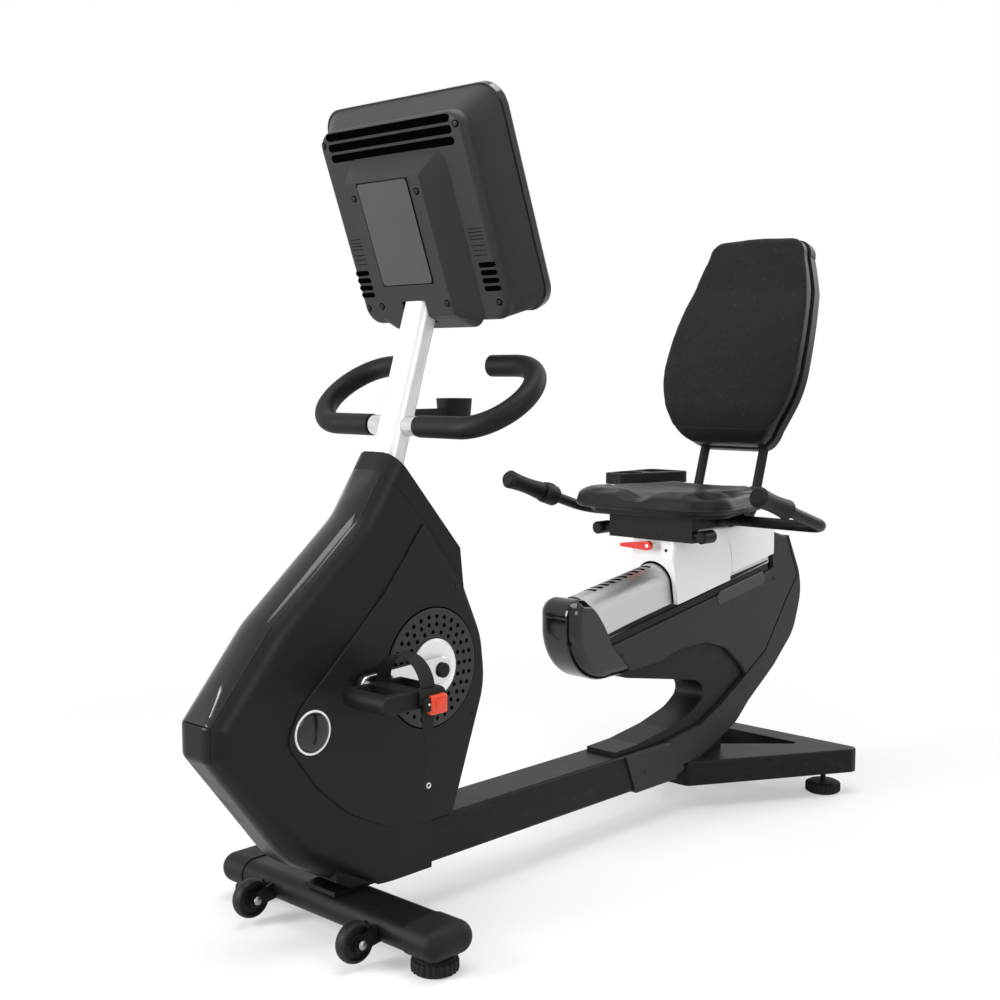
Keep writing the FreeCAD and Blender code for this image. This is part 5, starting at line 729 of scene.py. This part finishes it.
form = bmesh.new()
rows = []
for across, up in arch:
    start = arch_point(RAY_RADIUS, across, up)
    hit, spot, _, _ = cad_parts["seat_carriage"].ray_cast(start, down_rail)
    reach = ((spot - start).length if hit else SHADE_DEEP) - 0.0004
    rows.append([form.verts.new(arch_point(radius, across, up) + down_rail * reach)
                 for radius in (SHADE_INNER, SHADE_OUTER)])
for low_pair, up_pair in zip(rows, rows[1:]):
    form.faces.new((low_pair[0], low_pair[1], up_pair[1], up_pair[0]))
bmesh.ops.solidify(form, geom=form.faces[:], thickness=0.0006)
bmesh.ops.recalc_face_normals(form, faces=form.faces)
fixed(built("arch_seal", form, painted_shade_black), "seat")

# --- Rail ---------------------------------------------------------------------
# An extruded aluminium rail, brushed along its length and clear anodised: fine
# grain lines with a soft silver sheen. A row of short slanted slots in its top
# locates the seat; each slot is drawn as a thin near-black sheet of painted shade.
brushed = finish(
    "brushed_anodised_aluminium", "#c9cacc", 0.30,
    ("grain", 1.2, (0.02, 1, 1), "bump", 0.05), ("grain", 1.6, (0.02, 1, 1), "rough", 0.16),
    ("grain", 2.4, (0.02, 1, 1), "tint", "#a9abad", 0.5), Metallic=1.0)
dress(brushed, "seat_rail")

# A dark strip of painted shade runs along each of the rail's lower edges, for the dark channel between the
# rail and the cover below.
SHADE_STRIP_XS, SHADE_STRIP_DROP, SHADE_STRIP_HIGH = (-0.058, -0.20, -0.35, -0.50, -0.714), 0.0935, 0.0115
strips = [seam_line("strip", [(x, rail_top(x) - SHADE_STRIP_DROP) for x in SHADE_STRIP_XS], SHADE_STRIP_HIGH, side,
                    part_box("seat_rail")[1].y, 0.00025, nylon) for side in (1, -1)]
fixed(joined("rail_wipers", *strips), "frame")


def rail_tooth(wide, half, lean):
    """One slot across the rail's crown, a thin sheet for its painted shade, leaning back at its left end.
    """
    form = bmesh.new()
    rows = []
    for k in range(13):
        across = half * (k - 6) / 6
        drop = RAIL_CROWN - math.sqrt(RAIL_CROWN ** 2 - across ** 2)
        taper = wide / 2 * (0.6 if k in (0, 12) else 1.0)
        rows.append([form.verts.new((end * taper - across * lean, across, 0.0002 - drop))
                     for end in (-1, 1)])
    for low, up in zip(rows, rows[1:]):
        form.faces.new((low[0], low[1], up[1], up[0]))
    return built("rail_tooth", form)


tooth = rail_tooth(0.0092, 0.0135, 0.30)
FIRST_SLOT_X, SLOT_SUNK = -0.110, 0.00003
first = Vector((FIRST_SLOT_X, 0, rail_top(FIRST_SLOT_X) - SLOT_SUNK))
fixed(repeat("rail_slots", ROW, ROW_IN, tooth, painted_shade_black,
             Matrix.Translation(first) @ Matrix.Rotation(RAIL_TILT, 4, "Y"),
             Count=10, Step=(-0.0206, 0, 0)), "frame")
bpy.data.objects.remove(tooth)

# --- Foam grips ---------------------------------------------------------------
# Closed-cell foam sleeves on the handlebar and the side handles: dull black with
# tiny cells, pressed slightly smoother in patches.
foam = finish("closed_cell_foam", "#0a0a0a", 0.60, ("cells", 1.8, EVEN, "bump", 0.12),
              ("grain", 60, EVEN, "rough", -0.14), ("grain", 25, EVEN, "tint", "#1e1e1e", 0.6), IOR=1.25)
dress(foam, "handlebar_grips", "side_grips")

# --- Console ------------------------------------------------------------------
# The console's back and its hatch are charcoal satin ABS, held by eight dark screws
# in round recesses, which are near-black discs of painted shade under the screws. The
# screen is a sheet of dark glass, and the keys are left bare.
console_abs = finish(
    "charcoal_console_abs", "#2b2b2b", 0.38,
    ("grain", 1.5, EVEN, "bump", 0.05), ("grain", 100, EVEN, "rough", 0.12),
    ("specks", 22, (1, 0.3, 1), "rough", 0.10), ("grain", 130, EVEN, "tint", "#353536", 0.5), IOR=1.25)
# The hatch is the same charcoal ABS as the back; its lighter grey is a painted highlight for the light that
# falls on its face.
hatch_abs_painted_lighter = finish(
    "charcoal_hatch_abs", "#424243", 0.42,
    ("grain", 1.5, EVEN, "bump", 0.05), ("grain", 80, EVEN, "rough", 0.12),
    ("grain", 110, EVEN, "tint", "#4d4d4e", 0.5), IOR=1.25)
glass = finish("dark_screen_glass", "#08090b", 0.06, ("grain", 50, EVEN, "rough", 0.05),
               ("grain", 90, EVEN, "tint", "#101216", 0.6), **{"Coat Weight": 0.5})
dress(console_abs, "console_housing")
dress(hatch_abs_painted_lighter, "console_hatch")
dress(glass, "console_screen")
CONSOLE = Matrix.Translation((0.450, 0, 1.390)) @ Matrix.Rotation(math.radians(20.2), 4, "Y")
inward = -(CONSOLE.to_3x3() @ Vector((1, 0, 0)))
spots = [against("console_housing", CONSOLE @ Vector((0.2, side * across, up)), inward)
         for across, up in ((0.080, -0.104), (0.084, -0.302), (0.168, -0.316), (0.168, -0.010))
         for side in (1, -1)]
recess = lathe("screw_recess", [(0.0064, 0), (0.0064, 0.0003), (0.0058, 0.0004), (0.0050, 0.0001),
                                (0, 0.00005)], 24, painted_shade_black)
fixed(repeat("console_recesses", SPOTS, SPOTS_IN, recess, painted_shade_black, spots=spots),
      "frame")
bpy.data.objects.remove(recess)
fixed(repeat("console_screws", SPOTS, SPOTS_IN, screw, zinc, spots=spots), "frame")
bpy.data.objects.remove(screw)


def console_marks(long, high, thick, steps, columns):
    """Slots on the console's back as near-black plates of painted shade, in columns of (across, lowest,
    pitch, count).
    """
    mark = stadium("mark", long, high, thick, painted_shade_black, steps)
    mark.data.transform(Matrix.Rotation(math.pi / 2, 4, "Y") @ Matrix.Rotation(math.pi / 2, 4, "Z"))
    made = [repeat("marks", ROW, ROW_IN, mark, painted_shade_black,
                   CONSOLE @ Matrix.Translation((0.00005, across, lowest)), Count=count, Step=(0, 0, pitch))
            for across, lowest, pitch, count in columns]
    bpy.data.objects.remove(mark)
    return made


# Fine cooling lines above the side vents, and a near-black plate in each vent slot: both painted shade of
# the grooves and openings.
fixed(joined("console_lines", *console_marks(0.034, 0.0011, 0.00025, 3, [
    (across, lowest, pitch, count) for across in (0.152, -0.152)
    for lowest, pitch, count in ((-0.204, 0.0062, 4), (-0.232, 0.0085, 3))])), "frame")
wide_vent_shades = console_marks(0.3140, 0.0142, 0.0003, 6, [(0, -0.036, 0.019, 3)])
side_vent_shades = console_marks(0.0365, 0.0094, 0.0003, 6, [
    (across, -0.291, 0.014, 4) for across in (0.160, -0.160)])
fixed(joined("console_louvres", *wide_vent_shades, *side_vent_shades), "frame")

# A fine gap runs round the service hatch, drawn as a near-black line of painted shade.
GAP_WIDE, GAP_DEEP = 0.0012, 0.0010
hatch = [CONSOLE.inverted() @ point.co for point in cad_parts["console_hatch"].data.vertices]
back = max(point.x for point in hatch) - GAP_WIDE
left, right = min(point.y for point in hatch), max(point.y for point in hatch)
foot, head = min(point.z for point in hatch), max(point.z for point in hatch)
bars = [rounded_box("bar", (back, y0, z0), (back + GAP_DEEP, y1, z1), 0.0003, painted_shade_black)
        for y0, z0, y1, z1 in ((left - GAP_WIDE, foot - GAP_WIDE, right + GAP_WIDE, foot),
                               (left - GAP_WIDE, head, right + GAP_WIDE, head + GAP_WIDE),
                               (left - GAP_WIDE, foot, left, head),
                               (right, foot, right + GAP_WIDE, head))]
for bar in bars:
    bar.data.transform(CONSOLE)
fixed(joined("hatch_gap", *bars), "frame")

# --- Lever --------------------------------------------------------------------
# The seat release lever is red nylon with a glossy moulded skin.
red = finish("red_nylon_lever", "#d8231b", 0.28, ("grain", 1.6, EVEN, "bump", 0.04),
             ("grain", 18, EVEN, "tint", "#b9150f", 0.5), ("grain", 30, EVEN, "rough", 0.12))
dress(red, "seat_lever")

# --- Seat cushion -------------------------------------------------------------
# Moulded foam under black vinyl, blown up over its pan like a real foam seat: a
# crowned edge, a hollow for the rider and a sewn line round that hollow.
vinyl = finish(
    "black_grained_vinyl", "#0b0b0b", 0.30,
    ("creases", 2.2, EVEN, "bump", 0.12), ("grain", 14, EVEN, "bump", 0.20),
    ("grain", 70, EVEN, "rough", 0.12), ("grain", 90, EVEN, "tint", "#1f1f20", 0.5), IOR=1.25)
BLOW_FRAMES = 20


def stuffed(name, node, voxel, pressure, cap, held, shrink=0.003, smooth=10, settle=4):
    """A CAD pad as a soft one: remeshed, then blown up by its filling with its back held."""
    form = bmesh.new()
    form.from_mesh(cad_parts[node].data)
    bmesh.ops.remove_doubles(form, verts=form.verts, dist=1e-5)
    pad = built(name, form)
    grid = pad.modifiers.new("grid", "REMESH")
    grid.mode, grid.voxel_size = "VOXEL", voxel
    worn = pad.modifiers.new("worn", "SMOOTH")
    worn.factor, worn.iterations = 0.5, smooth
    pad.data = made_mesh(pad)
    pad.modifiers.clear()
    normals = [point.normal.copy() for point in pad.data.vertices]
    for point, normal in zip(pad.data.vertices, normals):
        if not held(point.co):
            point.co -= normal * shrink
    start = [point.co.copy() for point in pad.data.vertices]
    back = pad.vertex_groups.new(name="back")
    back.add([point.index for point in pad.data.vertices if held(point.co)], 1.0, "REPLACE")
    cover = pad.modifiers.new("cover", "CLOTH")
    cover.settings.use_pressure = True
    cover.settings.uniform_pressure_force = pressure
    cover.settings.effector_weights.gravity = 0
    cover.settings.vertex_group_mass = "back"
    cover.settings.quality = 4
    cover.point_cache.frame_start, cover.point_cache.frame_end = 1, BLOW_FRAMES
    for step in range(1, BLOW_FRAMES + 1):
        scene.frame_set(step)
    pad.data = made_mesh(pad)
    pad.modifiers.clear()
    scene.frame_set(1)
    for point, was in zip(pad.data.vertices, start):
        move = point.co - was
        if move.length > cap:
            point.co = was + move.normalized() * cap
    calm = pad.modifiers.new("calm", "SMOOTH")
    calm.factor, calm.iterations = 0.5, settle
    pad.data = made_mesh(pad)
    pad.modifiers.clear()
    return pad


def soften(pad, levels=1):
    """One subdivision, applied, with smooth faces."""
    fine = pad.modifiers.new("fine", "SUBSURF")
    fine.levels = fine.render_levels = levels
    pad.data = made_mesh(pad)
    pad.modifiers.clear()
    for face in pad.data.polygons:
        face.use_smooth = True


def groove(distance, wide, deep):
    """Depth of a sewn channel at a distance from its line."""
    return deep * math.exp(-(distance / wide) ** 2)


low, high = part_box("seat_cushion")
middle = (low + high) / 2
cushion = stuffed("seat_cushion_soft", "seat_cushion", 0.005, 4.0, 0.005,
                  lambda co: co.z < low.z + 0.004, settle=8)
cushion.data.materials.clear()
cushion.data.materials.append(vinyl)
soften(cushion)

# The hollow is a squarish oval set a little back, and a channel between the thighs
# runs from it out over the front edge.
HOLLOW_WIDE, HOLLOW_LONG, HOLLOW_MEAN, HOLLOW_BACK, OVAL = 0.150, 0.140, 0.145, 0.012, 2.6
HOLLOW_DEEP, THIGH_WIDE, THIGH_DEEP, STITCH_WIDE, STITCH_DEEP = 0.011, 0.034, 0.016, 0.0045, 0.0035


def hollow_line(co):
    """How far inside the sewn line of the rider's hollow a point lies, in metres."""
    across, lengthwise = (co.y - middle.y) / HOLLOW_WIDE, (co.x - middle.x + HOLLOW_BACK) / HOLLOW_LONG
    reach = (abs(across) ** OVAL + abs(lengthwise) ** OVAL) ** (1 / OVAL)
    return (1 - reach) * HOLLOW_MEAN


def ease(value):
    """Rises softly from 0 to 1."""
    value = max(0.0, min(1.0, value))
    return value * value * (3 - 2 * value)


for point in cushion.data.vertices:
    if point.co.z > middle.z:
        upper = min(1.0, (point.co.z - middle.z) / 0.012)
        inside = hollow_line(point.co)
        dip = HOLLOW_DEEP * ease(inside / 0.06)
        front = ease((point.co.x - middle.x - 0.03) / 0.10)
        thighs = groove(point.co.y - middle.y, THIGH_WIDE, THIGH_DEEP * front)
        point.co.z -= upper * (dip + thighs + groove(inside, STITCH_WIDE, STITCH_DEEP))
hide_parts("seat_cushion")
fixed(cushion, "seat")


# The vinyl's lower edge is closed by a welt cord, sewn in all round.
def section_loop(piece, point, normal):
    """The longest closed line in which a plane cuts a piece, as a list of points."""
    form = bmesh.new()
    form.from_mesh(piece.data)
    cut = bmesh.ops.bisect_plane(form, geom=form.verts[:] + form.edges[:] + form.faces[:], plane_co=point,
                                 plane_no=normal)["geom_cut"]
    edges = dict.fromkeys(item for item in cut if isinstance(item, bmesh.types.BMEdge))
    loops = []
    while edges:
        first, here = edges.popitem()[0].verts
        line = [first.co.copy(), here.co.copy()]
        while True:
            onward = [e for e in here.link_edges if e in edges]
            if not onward:
                break
            edges.pop(onward[0])
            here = onward[0].other_vert(here)
            line.append(here.co.copy())
        loops.append(line)
    form.free()
    return max(loops, key=lambda line: sum((b - a).length for a, b in zip(line, line[1:])))


def piping(name, line, radius, material, every=3):
    """A welt cord along a closed line of points."""
    points = line[:-1:every]
    for _ in range(3):
        points = [(points[k - 1] + points[k] * 2 + points[(k + 1) % len(points)]) / 4
                  for k in range(len(points))]
    curve = bpy.data.curves.new(name, "CURVE")
    curve.dimensions = "3D"
    curve.bevel_depth, curve.bevel_resolution = radius, 1
    spline = curve.splines.new("POLY")
    spline.points.add(len(points) - 1)
    for slot, point in zip(spline.points, points):
        slot.co = (*point, 1)
    spline.use_cyclic_u = True
    cord = bpy.data.objects.new(name, curve)
    scene.collection.objects.link(cord)
    form = bmesh.new()
    form.from_mesh(made_mesh(cord))
    bpy.data.objects.remove(cord)
    return built(name, form, material, smooth=True)


welt_line = section_loop(cushion, Vector((0, 0, low.z + 0.009)), Vector((0, 0, 1)))
fixed(piping("seat_cushion_welt", welt_line, 0.0022, vinyl), "seat")

# --- Backrest -----------------------------------------------------------------
# A foam pad on a moulded shell. Its face is a coarse black upholstery cloth, and
# its edge a band of smooth vinyl, joined by a sewn seam.
cloth = finish(
    "black_knit_upholstery", "#0a0a0a", 0.72,
    ("cells", 3.4, EVEN, "bump", 0.5), ("grain", 2.2, EVEN, "bump", 0.3),
    ("specks", 9, EVEN, "tint", "#262626", 0.7),
    ("grain", 60, EVEN, "tint", "#121212", 0.6), ("grain", 45, EVEN, "rough", 0.1),
    **{"Sheen Weight": 0.06, "Sheen Roughness": 0.5}, IOR=1.25)
shell_abs = finish("satin_black_shell", "#1c1c1c", 0.36, ("grain", 1.4, EVEN, "bump", 0.05),
                   ("grain", 80, EVEN, "rough", 0.12), IOR=1.25)
dress(shell_abs, "backrest_shell")
BACK_TILT = math.radians(15.5)
face_out = Vector((math.cos(BACK_TILT), 0, math.sin(BACK_TILT)))
backrest = stuffed("backrest_soft", "backrest_pad", 0.004, 4.0, 0.0025, lambda co: False,
                   smooth=30, settle=16)
soften(backrest)
along_back = Vector((-math.sin(BACK_TILT), 0, math.cos(BACK_TILT)))
# The face's curve down its middle line is fitted, so that the pad can be laid flat.
middle_line = [(point.co.dot(along_back), point.co.dot(face_out)) for point in backrest.data.vertices
               if abs(point.co.y) < 0.02 and point.normal.dot(face_out) > 0.93]
lumbar = numpy.polyfit([up for up, _ in middle_line], [out for _, out in middle_line], 5).tolist()
ends = (min(up for up, _ in middle_line), max(up for up, _ in middle_line))


def lumbar_depth(point):
    """How far forward the face stands at a point's height up the back."""
    up, out = max(ends[0], min(ends[1], point.dot(along_back))), 0.0
    for factor in lumbar:
        out = out * up + factor
    return out


# The seam is cut where the pad, laid flat, is a set depth behind its face.
SEAM_BEHIND = 0.011
for point in backrest.data.vertices:
    point.co -= face_out * lumbar_depth(point.co)
seam_at = face_out * -SEAM_BEHIND
form = bmesh.new()
form.from_mesh(backrest.data)
bmesh.ops.bisect_plane(form, geom=form.verts[:] + form.edges[:] + form.faces[:], plane_co=seam_at,
                       plane_no=face_out)
form.to_mesh(backrest.data)
form.free()
backrest.data.materials.clear()
backrest.data.materials.append(cloth)
backrest.data.materials.append(vinyl)
for face in backrest.data.polygons:
    face.material_index = 0 if (face.center - seam_at).dot(face_out) > 0 else 1
    face.use_smooth = True
cord = piping("backrest_piping", section_loop(backrest, seam_at, face_out), 0.0014, vinyl)
for mesh in (backrest.data, cord.data):
    for point in mesh.vertices:
        point.co += face_out * lumbar_depth(point.co)
fixed(cord, "seat")
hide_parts("backrest_pad")
fixed(backrest, "seat")
